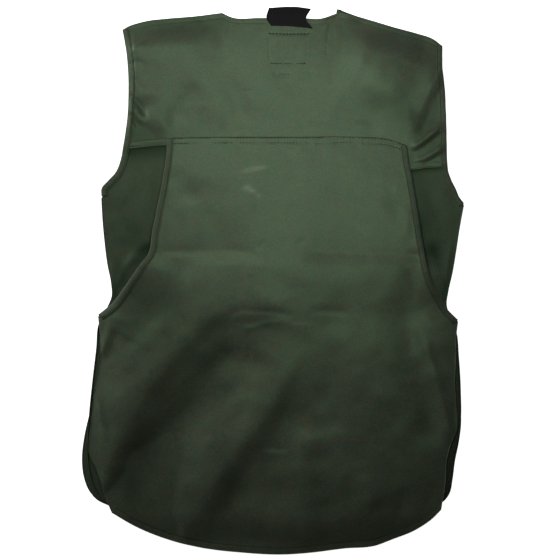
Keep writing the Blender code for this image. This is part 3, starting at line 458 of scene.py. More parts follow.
def through(points, shares):
    """Points at shares of the length of a smooth curve: cubic Hermite pieces over the chords."""
    p = np.array(points, float)
    s = np.concatenate(([0.0], np.cumsum(np.linalg.norm(np.diff(p, axis=0), axis=1))))
    slope = np.gradient(p, s, axis=0)
    at = np.asarray(shares) * s[-1]
    k = np.clip(np.searchsorted(s, at, side="right") - 1, 0, len(s) - 2)
    h = (s[k + 1] - s[k])[:, None]
    t = (at - s[k])[:, None] / h
    start = p[k] * (2 * t**3 - 3 * t**2 + 1) + h * slope[k] * (t**3 - 2 * t**2 + t)
    end = p[k + 1] * (3 * t**2 - 2 * t**3) + h * slope[k + 1] * (t**3 - t**2)
    return start + end


def chord_length(points):
    """Length of the straight runs between points."""
    return float(np.linalg.norm(np.diff(np.array(points, float), axis=0), axis=1).sum())


def graded(length, cell, fine_start=0.0, fine_end=0.0, fine=0.8):
    """Grid lines as shares from 0 to 1: fine cells over the first and last millimetres, plain between."""
    def steps(start, end, size):
        return np.linspace(start, end, max(1, int(round((end - start) / size))) + 1)[1:]
    lines = [np.zeros(1)]
    if fine_start:
        lines.append(steps(0.0, fine_start, fine))
    lines.append(steps(fine_start, length - fine_end, cell))
    if fine_end:
        lines.append(steps(length - fine_end, length, fine))
    return np.concatenate(lines) / length


def runs(*parts):
    """One edge of several runs of (points, shares, weight): its points, and its grid shares 0 to 1.

    A run takes up its weight's part of the whole, so that the grid matches that of the solids.
    """
    total = sum(weight for _, _, weight in parts)
    points, shares, done = [], [], 0.0
    for k, (route, at, weight) in enumerate(parts):
        skip = 1 if k else 0
        points.append(through(route, at)[skip:])
        shares.append((done + np.asarray(at) * weight)[skip:] / total)
        done += weight
    return np.vstack(points), np.concatenate(shares)


def filled(top, bottom, left, right, u, v):
    """The grid that four edges enclose: both ruled surfaces added, less the one through the corners."""
    u = u[None, :, None]
    v = v[:, None, None]
    across = (1 - u) * left[:, None] + u * right[:, None]
    down = (1 - v) * top[None] + v * bottom[None]
    corners = (1 - v) * ((1 - u) * top[0] + u * top[-1]) + v * ((1 - u) * bottom[0] + u * bottom[-1])
    return across + down - corners


def tangents(points):
    """Unit steps along a row of points."""
    step = np.gradient(points, axis=0)
    return step / np.linalg.norm(step, axis=1)[:, None]


def square_to(steps):
    """Steps turned by a right angle: (y, -x) for each (x, y)."""
    return np.stack([steps[:, 1], -steps[:, 0]], axis=1)


def inward(edge, side):
    """Unit vectors square to an edge, towards the side given as -1 or 1 across."""
    square = square_to(tangents(edge))
    return square * np.sign(square[:, :1].sum() * side)


def pulled_in(plan, left=slice(None), right=None):
    """The plan with its raw side edges moved in over these rows, fading over the nearest columns."""
    for column, inner, rows in ((0, 3, left), (-1, -4, right or left)):
        plan = plan.copy()
        edge = plan[:, column].copy()
        square = square_to(np.gradient(edge, axis=0))
        square /= np.linalg.norm(square, axis=1)[:, None]
        square *= np.sign((square * (plan[:, inner] - edge)).sum(axis=1))[:, None]
        gone = np.linalg.norm(plan - edge[:, None], axis=2)
        fade = np.clip(1.0 - gone / EDGE_FADE, 0.0, 1.0)
        move = RAW_EDGE * fade[..., None] * square[:, None]
        plan[rows] += move[rows]
    return plan


def creases(out, drop, rows):
    """Sum of ridges and troughs, each (height, widths, sharpness, tapers, route).

    Across the route a crease falls as exp(-(distance / width) ^ sharpness). It has one width towards
    the traveller's left, which is the wearer's right when going down, and another towards the right.
    Along it the height swells from 0 over the first share and fades over the last share.
    """
    total = np.zeros(out.shape)
    for height, widths, sharpness, tapers, route in rows:
        path = through(route, np.linspace(0.0, 1.0, CREASE_STEPS + 1))
        reach = CREASE_REACH * max(widths)
        near = ((out > path[:, 0].min() - reach) & (out < path[:, 0].max() + reach)
                & (drop > path[:, 1].min() - reach) & (drop < path[:, 1].max() + reach))
        if not near.any():
            continue
        spot = np.stack([out[near], drop[near]], axis=1)
        step = np.diff(path, axis=0)
        away = spot[:, None] - path[None, :-1]
        t = np.clip((away * step).sum(axis=2) / (step**2).sum(axis=1), 0.0, 1.0)
        rest = away - t[..., None] * step
        gap = np.linalg.norm(rest, axis=2)
        k = gap.argmin(axis=1)
        pick = np.arange(len(k))
        gap, t, rest = gap[pick, k], t[pick, k], rest[pick, k]
        side = step[k, 1] * rest[:, 0] - step[k, 0] * rest[:, 1]
        width = np.where(side > 0, widths[0], widths[1])
        along = (k + t) / CREASE_STEPS
        swell = np.ones(len(k))
        if tapers[0]:
            swell = swell * ramp(along, 0.0, tapers[0])
        if tapers[1]:
            swell = swell * (1.0 - ramp(along, 1.0 - tapers[1], 1.0))
        total[near] += height * swell * np.exp(-((gap / width) ** sharpness))
    return total


def uneven(x, y, size, seed):
    """Smooth unevenness from -1 to 1: seeded values on a square lattice, blended by S weights."""
    lattice = np.random.default_rng(seed).uniform(-1.0, 1.0, (LATTICE, LATTICE))
    gx, gy = np.asarray(x) / size, np.asarray(y) / size
    ix, iy = np.floor(gx).astype(int), np.floor(gy).astype(int)
    fx, fy = ramp(gx - ix, 0.0, 1.0), ramp(gy - iy, 0.0, 1.0)
    here, beyond = ix % LATTICE, (ix + 1) % LATTICE

    def blended(row):
        line = row % LATTICE
        return lattice[line, here] * (1 - fx) + lattice[line, beyond] * fx
    return blended(iy) * (1 - fy) + blended(iy + 1) * fy


def with_waves(lift, out, drop, waves):
    """A lift with slight unevenness added, each layer (height, size, seed)."""
    for height, size, seed in waves:
        lift = lift + height * uneven(out, drop, size, seed)
    return lift


def dent(distance, at, width, depth):
    """The groove that a row of stitching pulls into the cloth: a narrow bell at one distance."""
    return -depth * np.exp(-(((distance - at) / width) ** 2))


def pocket_share(out, drop):
    """1 over the front pockets, 0 at the placket and on the chest."""
    return ramp(np.abs(out), *POCKET_SIDE_STEP) * ramp(drop, *POCKET_TOP_STEP)


def front_under(out, drop, lap):
    """Underside of a front: flat on the surface, lifted over the studs, the other front and the pocket."""
    near_placket = 1.0 - ramp(np.abs(out), *FRONT_AT_PLACKET)
    over_studs = STUD_SPACE * ramp(drop, *STUD_STEP_DOWN)
    lift = near_placket * (over_studs + lap * ramp(drop, *LAP_STEP_DOWN))
    return lift + (POCKET_SPACE - lift) * pocket_share(out, drop)


def body_under(out, drop):
    """Underside of the back body: just clear of the fronts, down to the surface at the tail."""
    base = UPPER_BACK + (LOWER_BACK - UPPER_BACK) * ramp(drop, *BODY_SETTLE_DOWN)
    near_placket = 1.0 - ramp(np.abs(out), *BODY_AT_PLACKET)
    rise = NECK_RISE + (PLACKET_RISE - NECK_RISE) * ramp(drop, *BODY_RISE_DOWN)
    lift = base + near_placket * rise
    level = lift + (BACK_OVER_POCKET - lift) * pocket_share(out, drop)
    return level * (1.0 - ramp(drop, *TAIL_FALL_DOWN))


def shoulder_drop(out):
    """Drop of the shoulder line at a place across."""
    line = np.array(LEFT_SHOULDER + RIGHT_SHOULDER)
    return np.interp(out, line[:, 0], line[:, 1])


def yoke_under(out, drop):
    """Underside of the yoke: softly bulged, rolled down along the shoulders, over the body at its hem."""
    across = np.clip(1.0 - (out / YOKE_HALF_WIDTH) ** 2, 0.0, 1.0)
    bulge = across * np.sin(np.pi * np.clip(drop / YOKE_DEPTH, 0.0, 1.0)) ** YOKE_FULLNESS
    seam = ramp(np.abs(out), *SHOULDER_SEAM_INNER) * (1.0 - ramp(np.abs(out), *SHOULDER_SEAM_OUTER))
    roll = seam * (1.0 - ramp(drop - shoulder_drop(out), *SHOULDER_ROLL))
    upper = YOKE_EDGE + YOKE_BULGE * bulge - (YOKE_EDGE - LOWER_BACK) * roll
    lower = body_under(out, drop) + CLOTH + LAYER_GAP
    return upper + (lower - upper) * ramp(drop, *YOKE_ONTO_BODY)


def soft_floor(height, least, ease):
    """height, but never under least: 0.5 (h + l + sqrt((h - l)^2 + ease^2))."""
    return 0.5 * (height + least + np.sqrt((height - least) ** 2 + ease**2))


def body_top(out, drop):
    """Upper side of the back body, with creases that only rise, because the fronts lie close under it."""
    rise = np.maximum(creases(out, drop, BODY_CREASES), 0.0)
    rise = rise + 0.25 * (1.0 + uneven(out, drop, 17.0, 3)) * ramp(drop, 190.0, 215.0)
    return body_under(out, drop) + CLOTH + rise * (1.0 - ramp(drop, 690.0, 725.0))


def painted_spot_share(out, drop, spots):
    """How much of the cloth's colour the painted spots leave: 1, less soft oval spots of painted shade, with
    a share below 0 painting light or a pale mark.

    Each spot is (out, drop, half width, half height, share) and dies away as exp(-(distance)^2).
    """
    left = np.ones(out.shape)
    for across, down, half_width, half_height, share in spots:
        away = ((out - across) / half_width) ** 2 + ((drop - down) / half_height) ** 2
        left = left * (1.0 - share * np.exp(-away))
    return left


def painted_hem_shadow(out, drop):
    """Painted shadow under the yoke's hem: 1, less a share that dies away as exp(-(d / reach)^2)."""
    hem = np.array(YOKE_HEM)
    below = np.maximum(drop - np.interp(out, hem[:, 0], hem[:, 1]), 0.0)
    reach = np.where(out < 0.0, 17.0, 5.0)
    return 1.0 - 0.86 * np.exp(-((below / reach) ** 2))


def write_painted_spots(made, spots, more=None):
    """Write the painted shade, painted light and pale marks of each point of a cloth into its colour
    attribute.
    """
    where = np.empty(3 * len(made.data.vertices), dtype=np.float32)
    made.data.vertices.foreach_get("co", where)
    where = where.reshape(-1, 3) / MM
    out, drop = where[:, 0] - CENTRE_BACK, NECK_LEVEL - where[:, 1]
    painted_spots = painted_spot_share(out, drop, spots)
    if more:
        painted_spots = painted_spots * more(out, drop)
    layer = made.data.color_attributes.new("painted_spots", "FLOAT_COLOR", "POINT")
    layer.data.foreach_set("color", np.repeat(painted_spots, 4).astype(np.float32))


def yoke_top(out, drop):
    """Upper side of the yoke: its bulge, creases, stitched hem and the slight unevenness of cloth."""
    free = 1.0 - ramp(drop, *YOKE_ONTO_BODY)
    lift = with_waves(creases(out, drop, YOKE_CREASES), out, drop, YOKE_WAVES)
    room = YOKE_EDGE + 2.0 - 5.0 * (1.0 - free)
    lift = soft_floor(lift, np.minimum(-0.1, -room * free), 0.3)
    return yoke_under(out, drop) + CLOTH + lift


def pouch_parts(out, drop, across):
    """The height of what carries the pouch, and how far the pouch stands off it."""
    layers = 2.0 - ramp(drop, *POUCH_OFF_YOKE)
    seat = body_under(out, drop) + (CLOTH + LAYER_GAP) * layers
    down = np.clip((drop - POUCH_TOP) / (POUCH_CLOSED - POUCH_TOP), 0.0, 1.0)
    gape = POUCH_GAPE * np.sin(np.pi * down)
    gape = gape * (1.0 - ramp(drop, *MOUTH_CLOSING) * np.abs(across) ** SIDE_SHARPNESS)
    return seat, gape


def pouch_top(out, drop, across):
    """Upper side of the pouch: on its seat, its bulge and its creases, never under what carries it."""
    seat, gape = pouch_parts(out, drop, across)
    grow = 0.5 + 0.5 * ramp(drop, *POUCH_WAVES_GROW)
    lift = creases(out, drop, POUCH_CREASES) + grow * uneven(out, drop, 27.0, 21)
    lift = with_waves(lift, out, drop, POUCH_FINE_WAVES)
    held = ramp(drop, POUCH_TOP, POUCH_TOP + 16.0)
    return seat + CLOTH + soft_floor(gape + lift * held, 0.0, 0.5) - 0.25


def place(points):
    """Millimetres from the centre-back line to metres in the part's frame, for (out, drop, height)."""
    p = np.asarray(points, float)
    world = np.stack([p[..., 0] + CENTRE_BACK, NECK_LEVEL - p[..., 1], p[..., 2]], axis=-1)
    return world.reshape(-1, 3) * MM


def new_piece(name, points, faces, material, uv, replaced=()):
    """A closed mesh piece on the part's one body, with faces outwards and a UV map in metres."""
    corners = points[np.array([face[:3] for face in faces])]
    volume = np.einsum("ij,ij->i", corners[:, 0], np.cross(corners[:, 1], corners[:, 2])).sum()
    if volume < 0:
        faces = [face[::-1] for face in faces]
    mesh = bpy.data.meshes.new(name)
    mesh.from_pydata(points.tolist(), [], faces)
    used = np.empty(len(mesh.loops), dtype=np.int32)
    mesh.loops.foreach_get("vertex_index", used)
    layer = mesh.uv_layers.new(name="cloth")
    layer.data.foreach_set("uv", np.asarray(uv, np.float32)[used].ravel())
    mesh.shade_smooth()
    mesh.materials.append(material)
    made = bpy.data.objects.new(name, mesh)
    bpy.context.scene.collection.objects.link(made)
    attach(made, "root")
    if replaced:
        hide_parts(*replaced)
    return made


def shell(name, plan, top, material, thickness=THIN, replaced=()):
    """A closed cloth wall over a plan grid.

    Its upper side is at the heights in top and its underside a thickness below. Round the edge run
    rings of points on a half circle across the wall, so that the edge is rounded.
    """
    rows, columns = top.shape
    count = rows * columns
    thick = np.broadcast_to(thickness, top.shape)
    high = np.concatenate([plan, top[..., None]], axis=-1).reshape(-1, 3)
    low = np.concatenate([plan, (top - thick)[..., None]], axis=-1).reshape(-1, 3)
    index = np.arange(count).reshape(rows, columns)
    rim = np.concatenate([index[0, :-1], index[:-1, -1], index[-1, :0:-1], index[:0:-1, 0]])
    flat = plan.reshape(-1, 2)[rim]
    step = np.roll(flat, -1, axis=0) - np.roll(flat, 1, axis=0)
    out = square_to(step)
    out /= np.linalg.norm(out, axis=1)[:, None]
    turn = np.sign(np.cross(flat, np.roll(flat, -1, axis=0)).sum())
    half = thick.reshape(-1)[rim] / 2
    middle = high[rim, 2] - half
    rings = [np.column_stack([flat + out * (turn * half * np.cos(a))[:, None], middle + half * np.sin(a)])
             for a in RIM_ANGLES]
    points = place(np.vstack([high, low] + rings))
    a, b, c, d = index[:-1, :-1], index[:-1, 1:], index[1:, 1:], index[1:, :-1]
    upper = np.stack([a, d, c, b], axis=-1).reshape(-1, 4)
    lower = np.stack([a, b, c, d], axis=-1).reshape(-1, 4) + count
    size = len(rim)
    lanes = [rim] + [2 * count + k * size + np.arange(size) for k in range(len(RIM_ANGLES))] + [rim + count]
    walls = [np.stack([one, two, np.roll(two, -1), np.roll(one, -1)], axis=-1)
             for one, two in zip(lanes[:-1], lanes[1:])]
    faces = np.vstack([upper, lower] + walls).tolist()
    base = plan.reshape(-1, 2) * MM
    uv = np.vstack([base, base] + [base[rim]] * len(RIM_ANGLES))
    return new_piece(name, points, faces, material, uv, replaced)


def tube(name, rings, material, uv, replaced=()):
    """A closed bar through rings of section points, (stations, points, 3), capped at both ends."""
    stations, count = rings.shape[:2]
    index = np.arange(stations * count).reshape(stations, count)
    turned = np.roll(index, -1, axis=1)
    sides = np.stack([index[:-1], turned[:-1], turned[1:], index[1:]], axis=-1).reshape(-1, 4).tolist()
    caps = [index[0, ::-1].tolist(), index[-1].tolist()]
    return new_piece(name, place(rings), sides + caps, material, uv, replaced)


def raised(flat, heights):
    """Rings from flat section points, (stations, points, 2), and the height of each."""
    return np.concatenate([flat, np.broadcast_to(heights, flat.shape[:2] + (1,))], axis=-1)


def tape(name, route, side, width, top, material, seed, replaced, station=1.6):
    """A folded tape round a raw edge: the tape's section carried along the edge, following the panel.

    A section point lies square to the edge at its own distance, at its own height over the panel.
    The edge wavers a little, and the roll swells and sinks unevenly between the stitches.
    """
    at = np.linspace(0.0, 1.0, int(chord_length(route) / station) + 1)
    edge = through(route, at)
    run = at * chord_length(route)
    square = inward(edge, side)
    edge = edge + square * (TAPE_WAVER[0] * uneven(run, 0.0, TAPE_WAVER[1], seed))[:, None]
    section = np.array(TAPE_SECTION)
    far = section[:, 0] > TAPE_ROLL
    grow = (width - TAPE_ROLL) / (TAPE_REFERENCE - TAPE_ROLL)
    section[far, 0] = TAPE_ROLL + (section[far, 0] - TAPE_ROLL) * grow
    flat = edge[:, None] + square[:, None] * section[None, :, :1]
    swell = TAPE_SWELL[0] * uneven(run[:, None], section[None, :, 0], TAPE_SWELL[1], seed + 1)
    height = section[None, :, 1] + np.where(section[None, :, 1] > 0, swell, 0.0)
    rings = np.concatenate([flat, (top(flat[..., 0], flat[..., 1]) + height)[..., None]], axis=-1)
    around = np.concatenate([[0.0], np.cumsum(np.linalg.norm(np.diff(section, axis=0), axis=1))])
    uv = np.stack(np.broadcast_arrays(run[:, None], around[None, :]), axis=-1).reshape(-1, 2) * MM
    return tube(name, rings, material, uv, replaced=replaced)


def stitch_row(route, top, lift, pitch=3.0, length=2.3, radius=0.3, kept=1.0, seed=0):
    """One row of thread stitches on the cloth: both ends and the radius of each.

    Where the row sinks into the cloth only a share of the stitches is kept, in seeded patches.
    """
    count = max(2, int(chord_length(route) / pitch))
    at = (np.arange(count) + 0.5) / count
    middle = through(route, at)
    heading = tangents(middle)
    shows = uneven(at * chord_length(route), 0.0, 9.0, 200 + seed)
    shows = shows <= np.quantile(shows, kept)
    middle, heading = middle[shows], heading[shows]
    ends = [middle + heading * length / 2 * s for s in (-1.0, 1.0)]
    heights = [top(e[:, 0], e[:, 1]) + lift for e in ends]
    back = np.column_stack([ends[0], heights[0]])
    front = np.column_stack([ends[1], heights[1]])
    return back, front, np.full(len(middle), radius)


def stitching(name, rows, material):
    """Many stitches in one piece: each is a bar of rings between its two ends, round in section.

    A ring lies at its share along the bar, with the thread's radius times its own size; the bar is
    bowed up in the middle and its ends dip into the cloth.
    """
    back = np.vstack([row[0] for row in rows])
    front = np.vstack([row[1] for row in rows])
    radius = np.concatenate([row[2] for row in rows])
    axis = front - back
    axis_unit = axis / np.linalg.norm(axis, axis=1)[:, None]
    beside = np.cross(axis_unit, np.array([0.0, 0.0, 1.0]))
    beside /= np.linalg.norm(beside, axis=1)[:, None]
    above = np.cross(beside, axis_unit)
    angle = np.linspace(0.0, 2.0 * np.pi, STITCH_SIDES, endpoint=False)
    shape = np.array(STITCH_RINGS)
    bow = 0.12 - 1.3 * shape[:, 0] ** 2
    centre = (back + front)[:, None] / 2 + axis[:, None] * shape[None, 1:-1, :1]
    centre[..., 2] += bow[1:-1]
    round_ = (beside[:, None, None] * np.cos(angle)[None, None, :, None]
              + above[:, None, None] * np.sin(angle)[None, None, :, None])
    body = centre[:, :, None] + round_ * (radius[:, None] * shape[None, 1:-1, 1])[:, :, None, None]
    tips = (back + front)[:, None] / 2 + axis[:, None] * shape[None, [0, -1], :1]
    tips[..., 2] += bow[[0, -1]]
    number, lanes = len(back), len(shape) - 2
    points = np.concatenate([body.reshape(number, -1, 3), tips], axis=1)
    per = lanes * STITCH_SIDES
    index = np.arange(per).reshape(lanes, STITCH_SIDES)
    turned = np.roll(index, -1, axis=1)
    sides = np.stack([index[:-1], turned[:-1], turned[1:], index[1:]], axis=-1).reshape(-1, 4)
    first = np.column_stack([np.full(STITCH_SIDES, per), turned[0], index[0]])
    last = np.column_stack([np.full(STITCH_SIDES, per + 1), index[-1], turned[-1]])
    shift = (np.arange(number) * (per + 2))[:, None, None]
    faces = (sides[None] + shift).reshape(-1, 4).tolist()
    faces += (first[None] + shift).reshape(-1, 3).tolist() + (last[None] + shift).reshape(-1, 3).tolist()
    uv = points.reshape(-1, 3)[:, :2] * MM
    return new_piece(name, place(points), faces, material, uv)


def beside(route, distance, side, count=60):
    """A route moved square to itself by a distance, towards the side given as -1 or 1 across."""
    edge = through(route, np.linspace(0.0, 1.0, count))
    return edge + inward(edge, side) * distance


# Materials


def add_node(tree, kind, settings=None, **inputs):
    """A node with its settings, its plain input values, and links from the sockets given."""
    node = tree.nodes.new(kind)
    for name, value in (settings or {}).items():
        setattr(node, name, value)
    for name, value in inputs.items():
        socket = node.inputs[int(name[1:]) if name[1:].isdigit() else name.replace("_", " ")]
        if isinstance(value, bpy.types.NodeSocket):
            tree.links.new(value, socket)
        else:
            socket.default_value = value
    return node


def blank_material(name):
    """A material with its shader, ready for its pattern."""
    made = bpy.data.materials.new(name)
    made.use_nodes = True
    return made, made.node_tree, made.node_tree.nodes["Principled BSDF"]


def multiplied(tree, first, second):
    """One colour multiplied by another."""
    return add_node(tree, "ShaderNodeMix", {"data_type": "RGBA", "blend_type": "MULTIPLY"}, Factor=1.0,
                    _6=first, _7=second).outputs[2]


def set_inputs(node, **values):
    """Set plain input values by name, with _ for each space."""
    for name, value in values.items():
        node.inputs[name.replace("_", " ")].default_value = value


def rgba(colour):
    """A colour with full opacity."""
    return tuple(colour)[:3] + (1.0,)


def cloth_material(name, colour, shade=1.0, rib=0.0011, gloss=0.34, rough=0.43, painted_spots=None):
    """Washed twill: olive and green yarns, soft fading in patches, fine diagonal ribs and lint."""
    made, tree, shader = blank_material(name)
    base = np.array(colour[:3]) * shade
    objects = add_node(tree, "ShaderNodeTexCoord").outputs["Object"]
    flat = add_node(tree, "ShaderNodeUVMap", {"uv_map": "cloth"}).outputs["UV"]
    patches = add_node(tree, "ShaderNodeTexNoise", Vector=objects, Scale=22.0, Detail=3.0, Roughness=0.6)
    fading = add_node(tree, "ShaderNodeValToRGB", Fac=patches.outputs["Fac"])
    fading.color_ramp.elements[0].position, fading.color_ramp.elements[1].position = 0.32, 0.70
    fading.color_ramp.elements[0].color = rgba(base * np.array([0.86, 0.83, 0.82]))
    fading.color_ramp.elements[1].color = rgba(base * np.array([1.12, 1.16, 1.16]))
    olive = add_node(tree, "ShaderNodeTexNoise", Vector=objects, Scale=95.0, Detail=4.0, Roughness=0.65)
    tint = add_node(tree, "ShaderNodeMapRange", Value=olive.outputs["Fac"], From_Min=0.40, From_Max=0.66)
    brown = rgba(base * np.array([1.26, 0.97, 0.90]))
    mixed = add_node(tree, "ShaderNodeMix", {"data_type": "RGBA"}, Factor=tint.outputs["Result"],
                     _6=fading.outputs["Color"], _7=brown)
    fuzz = add_node(tree, "ShaderNodeTexNoise", Vector=objects, Scale=420.0, Detail=4.0, Roughness=0.75)
    speck = add_node(tree, "ShaderNodeMapRange", Value=fuzz.outputs["Fac"], From_Min=0.25, From_Max=0.75,
                     To_Min=0.66, To_Max=1.34)
    yarn = add_node(tree, "ShaderNodeTexWave", {"bands_direction": "DIAGONAL"}, Vector=flat,
                    Scale=0.444 / rib, Distortion=0.6, Detail=1.0)
    ribs = add_node(tree, "ShaderNodeMapRange", Value=yarn.outputs["Fac"], To_Min=0.90, To_Max=1.06)
    both = add_node(tree, "ShaderNodeMath", {"operation": "MULTIPLY"}, _0=speck.outputs["Result"],
                    _1=ribs.outputs["Result"])
    shown = multiplied(tree, mixed.outputs[2], both.outputs["Value"])
    # Where given, the colour attribute multiplies in painted shade, painted light and a few pale marks
    if painted_spots:
        kept = add_node(tree, "ShaderNodeAttribute", {"attribute_name": painted_spots})
        shown = multiplied(tree, shown, kept.outputs["Color"])
    tree.links.new(shown, shader.inputs["Base Color"])
    worn = add_node(tree, "ShaderNodeMapRange", Value=patches.outputs["Fac"], From_Min=0.3, From_Max=0.7,
                    To_Min=rough - 0.03, To_Max=rough + 0.05)
    tree.links.new(worn.outputs["Result"], shader.inputs["Roughness"])
    relief = add_node(tree, "ShaderNodeMath", {"operation": "MULTIPLY_ADD"}, _0=fuzz.outputs["Fac"],
                      _1=0.8, _2=yarn.outputs["Fac"])
    bump = add_node(tree, "ShaderNodeBump", Height=relief.outputs["Value"], Strength=0.45, Distance=0.00022)
    tree.links.new(bump.outputs["Normal"], shader.inputs["Normal"])
    set_inputs(shader, Specular_IOR_Level=gloss, Specular_Tint=(0.50, 1.0, 0.50, 1.0), Sheen_Weight=0.04,
               Sheen_Roughness=0.4, Sheen_Tint=(0.75, 0.85, 0.70, 1.0))
    return made


def ribbon_material(name, colour):
    """Black ribbon: close ribs across its length and a faint shine on each rib."""
    made, tree, shader = blank_material(name)
    flat = add_node(tree, "ShaderNodeUVMap", {"uv_map": "cloth"}).outputs["UV"]
    ribs = add_node(tree, "ShaderNodeTexWave", {"bands_direction": "X"}, Vector=flat, Scale=0.314 / 0.0009)
    fuzz = add_node(tree, "ShaderNodeTexNoise", Vector=flat, Scale=900.0, Detail=2.0)
    shade = add_node(tree, "ShaderNodeMapRange", Value=fuzz.outputs["Fac"], To_Min=0.6, To_Max=1.5)
    tree.links.new(multiplied(tree, rgba(colour), shade.outputs["Result"]), shader.inputs["Base Color"])
    bump = add_node(tree, "ShaderNodeBump", Height=ribs.outputs["Fac"], Strength=0.6, Distance=0.0002)
    tree.links.new(bump.outputs["Normal"], shader.inputs["Normal"])
    set_inputs(shader, Roughness=0.75, Specular_IOR_Level=0.15)
    return made


def thread_material(name, colour):
    """Sewing thread: near-black and dull, uneven from its twist; the dark colour is partly the thread's own
    and partly painted shade of the grooves that the stitches pull.
    """
    made, tree, shader = blank_material(name)
    objects = add_node(tree, "ShaderNodeTexCoord").outputs["Object"]
    fuzz = add_node(tree, "ShaderNodeTexNoise", Vector=objects, Scale=400.0)
    shade = add_node(tree, "ShaderNodeMapRange", Value=fuzz.outputs["Fac"], To_Min=0.7, To_Max=1.3)
    tree.links.new(multiplied(tree, rgba(colour), shade.outputs["Result"]), shader.inputs["Base Color"])
    set_inputs(shader, Roughness=0.7, Specular_IOR_Level=0.12)
    return made


def stud_material(name, colour):
    """Dark lacquer over brass, worn in fine scratches."""
    made, tree, shader = blank_material(name)
    objects = add_node(tree, "ShaderNodeTexCoord").outputs["Object"]
    wear = add_node(tree, "ShaderNodeTexNoise", Vector=objects, Scale=260.0, Detail=5.0)
    rough = add_node(tree, "ShaderNodeMapRange", Value=wear.outputs["Fac"], To_Min=0.22, To_Max=0.55)
    tree.links.new(rough.outputs["Result"], shader.inputs["Roughness"])
    shade = add_node(tree, "ShaderNodeMapRange", Value=wear.outputs["Fac"], To_Min=0.7, To_Max=1.5)
    tree.links.new(multiplied(tree, rgba(colour), shade.outputs["Result"]), shader.inputs["Base Color"])
    shader.inputs["Metallic"].default_value = 0.8
    return made


def finish_of(kind):
    """The material of a kind of cloth, thread, ribbon or metal, made when it is first asked for."""
    settings = bpy.context.scene.vest_finish
    name = "vest_" + kind
    if name in bpy.data.materials:
        return bpy.data.materials[name]
    if kind == "back":
        return cloth_material(name, settings.cloth_colour, painted_spots="painted_spots")
    # The fronts, pockets and back body are a darker copy of the twill: painted shade for the layers that lie
    # under others
    if kind in ("shell", "body"):
        return cloth_material(name, settings.cloth_colour, settings.shell_painted_shade, gloss=0.3, rough=0.55,
                              painted_spots="painted_spots" if kind == "body" else None)
    if kind == "tape":
        return cloth_material(name, settings.cloth_colour, settings.tape_shade, rib=0.0008, gloss=0.22,
                              rough=0.5)
    if kind == "thread":
        return thread_material(name, settings.thread_colour)
    if kind == "ribbon":
        return ribbon_material(name, settings.ribbon_colour)
    return stud_material(name, settings.stud_colour)


def colour_setting(name, description, default):
    """A colour in the panel."""
    return bpy.props.FloatVectorProperty(
        name=name, description=description, subtype="COLOR", size=3, min=0.0, max=1.0, default=default)


def length_setting(name, description, least, most, default):
    """A length in the panel, in metres."""
    return bpy.props.FloatProperty(
        name=name, description=description, subtype="DISTANCE", unit="LENGTH", min=least, max=most,
        default=default)


class VestFinish(bpy.types.PropertyGroup):
    """Colours of the vest's materials."""

    cloth_colour: colour_setting("Cloth", "Colour of the twill", (0.0465, 0.060, 0.0425))
    # Painted shade: how much darker the copy of the cloth is for the fronts, pockets and the back under the
    # pouch
    shell_painted_shade: bpy.props.FloatProperty(
        name="Inner shade", description="How bright the fronts and the back under the pouch are",
        subtype="FACTOR", min=0.2, max=2.0, default=0.60)
    tape_shade: bpy.props.FloatProperty(
        name="Tape shade", description="How bright the binding tape is", subtype="FACTOR",
        min=0.2, max=2.0, default=0.82)
    # Near-black: partly the thread's own colour, partly painted shade of the grooves that the stitches pull
    thread_colour: colour_setting("Thread", "Colour of the sewing thread", (0.006, 0.008, 0.005))
    ribbon_colour: colour_setting("Ribbon", "Colour of the ribbon tab", (0.003, 0.003, 0.003))
    stud_colour: colour_setting("Studs", "Colour of the press studs", (0.02, 0.02, 0.018))


class VestCloth(bpy.types.PropertyGroup):
    """Sizes of the grids and of the stitching."""

    pouch_cell: length_setting("Pouch cell", "Grid size of the pouch", 0.0015, 0.02, 0.0032)
    yoke_cell: length_setting("Yoke cell", "Grid size of the yoke", 0.0015, 0.02, 0.002)
    inner_cell: length_setting("Inner cell", "Grid size of the body, fronts and pockets", 0.002, 0.02, 0.0045)
    stitch_pitch: length_setting("Stitch pitch", "Distance from one stitch to the next", 0.001, 0.01, 0.003)


class VestStage(bpy.types.PropertyGroup):
    """The light and the floor."""

    key_power: bpy.props.FloatProperty(
        name="Key power", description="Power of the soft main light", unit="POWER", min=0.0,
        max=500.0, default=1.5)
    side_power: bpy.props.FloatProperty(
        name="Side power", description="Power of the low light from beyond the left shoulder", unit="POWER",
        min=0.0, max=500.0, default=20.0)
    floor_glow: bpy.props.FloatProperty(
        name="Floor glow", description="Light that the pale floor gives off", subtype="FACTOR",
        min=0.0, max=2.0, default=1.0)


def cell(name):
    """A grid size in millimetres from the panel's settings."""
    return getattr(bpy.context.scene.vest_cloth, name) / MM


def front_side_top(lap, rows):
    """The upper side of a front, as a function of the place."""
    def top(out, drop):
        rise = creases(out, drop, rows)
        rise = np.clip(rise + 0.15 * (1.0 + uneven(out, drop, 15.0, 41)), 0.0, None)
        return front_under(out, drop, lap) + CLOTH + 0.02 + rise * 0.3
    return top


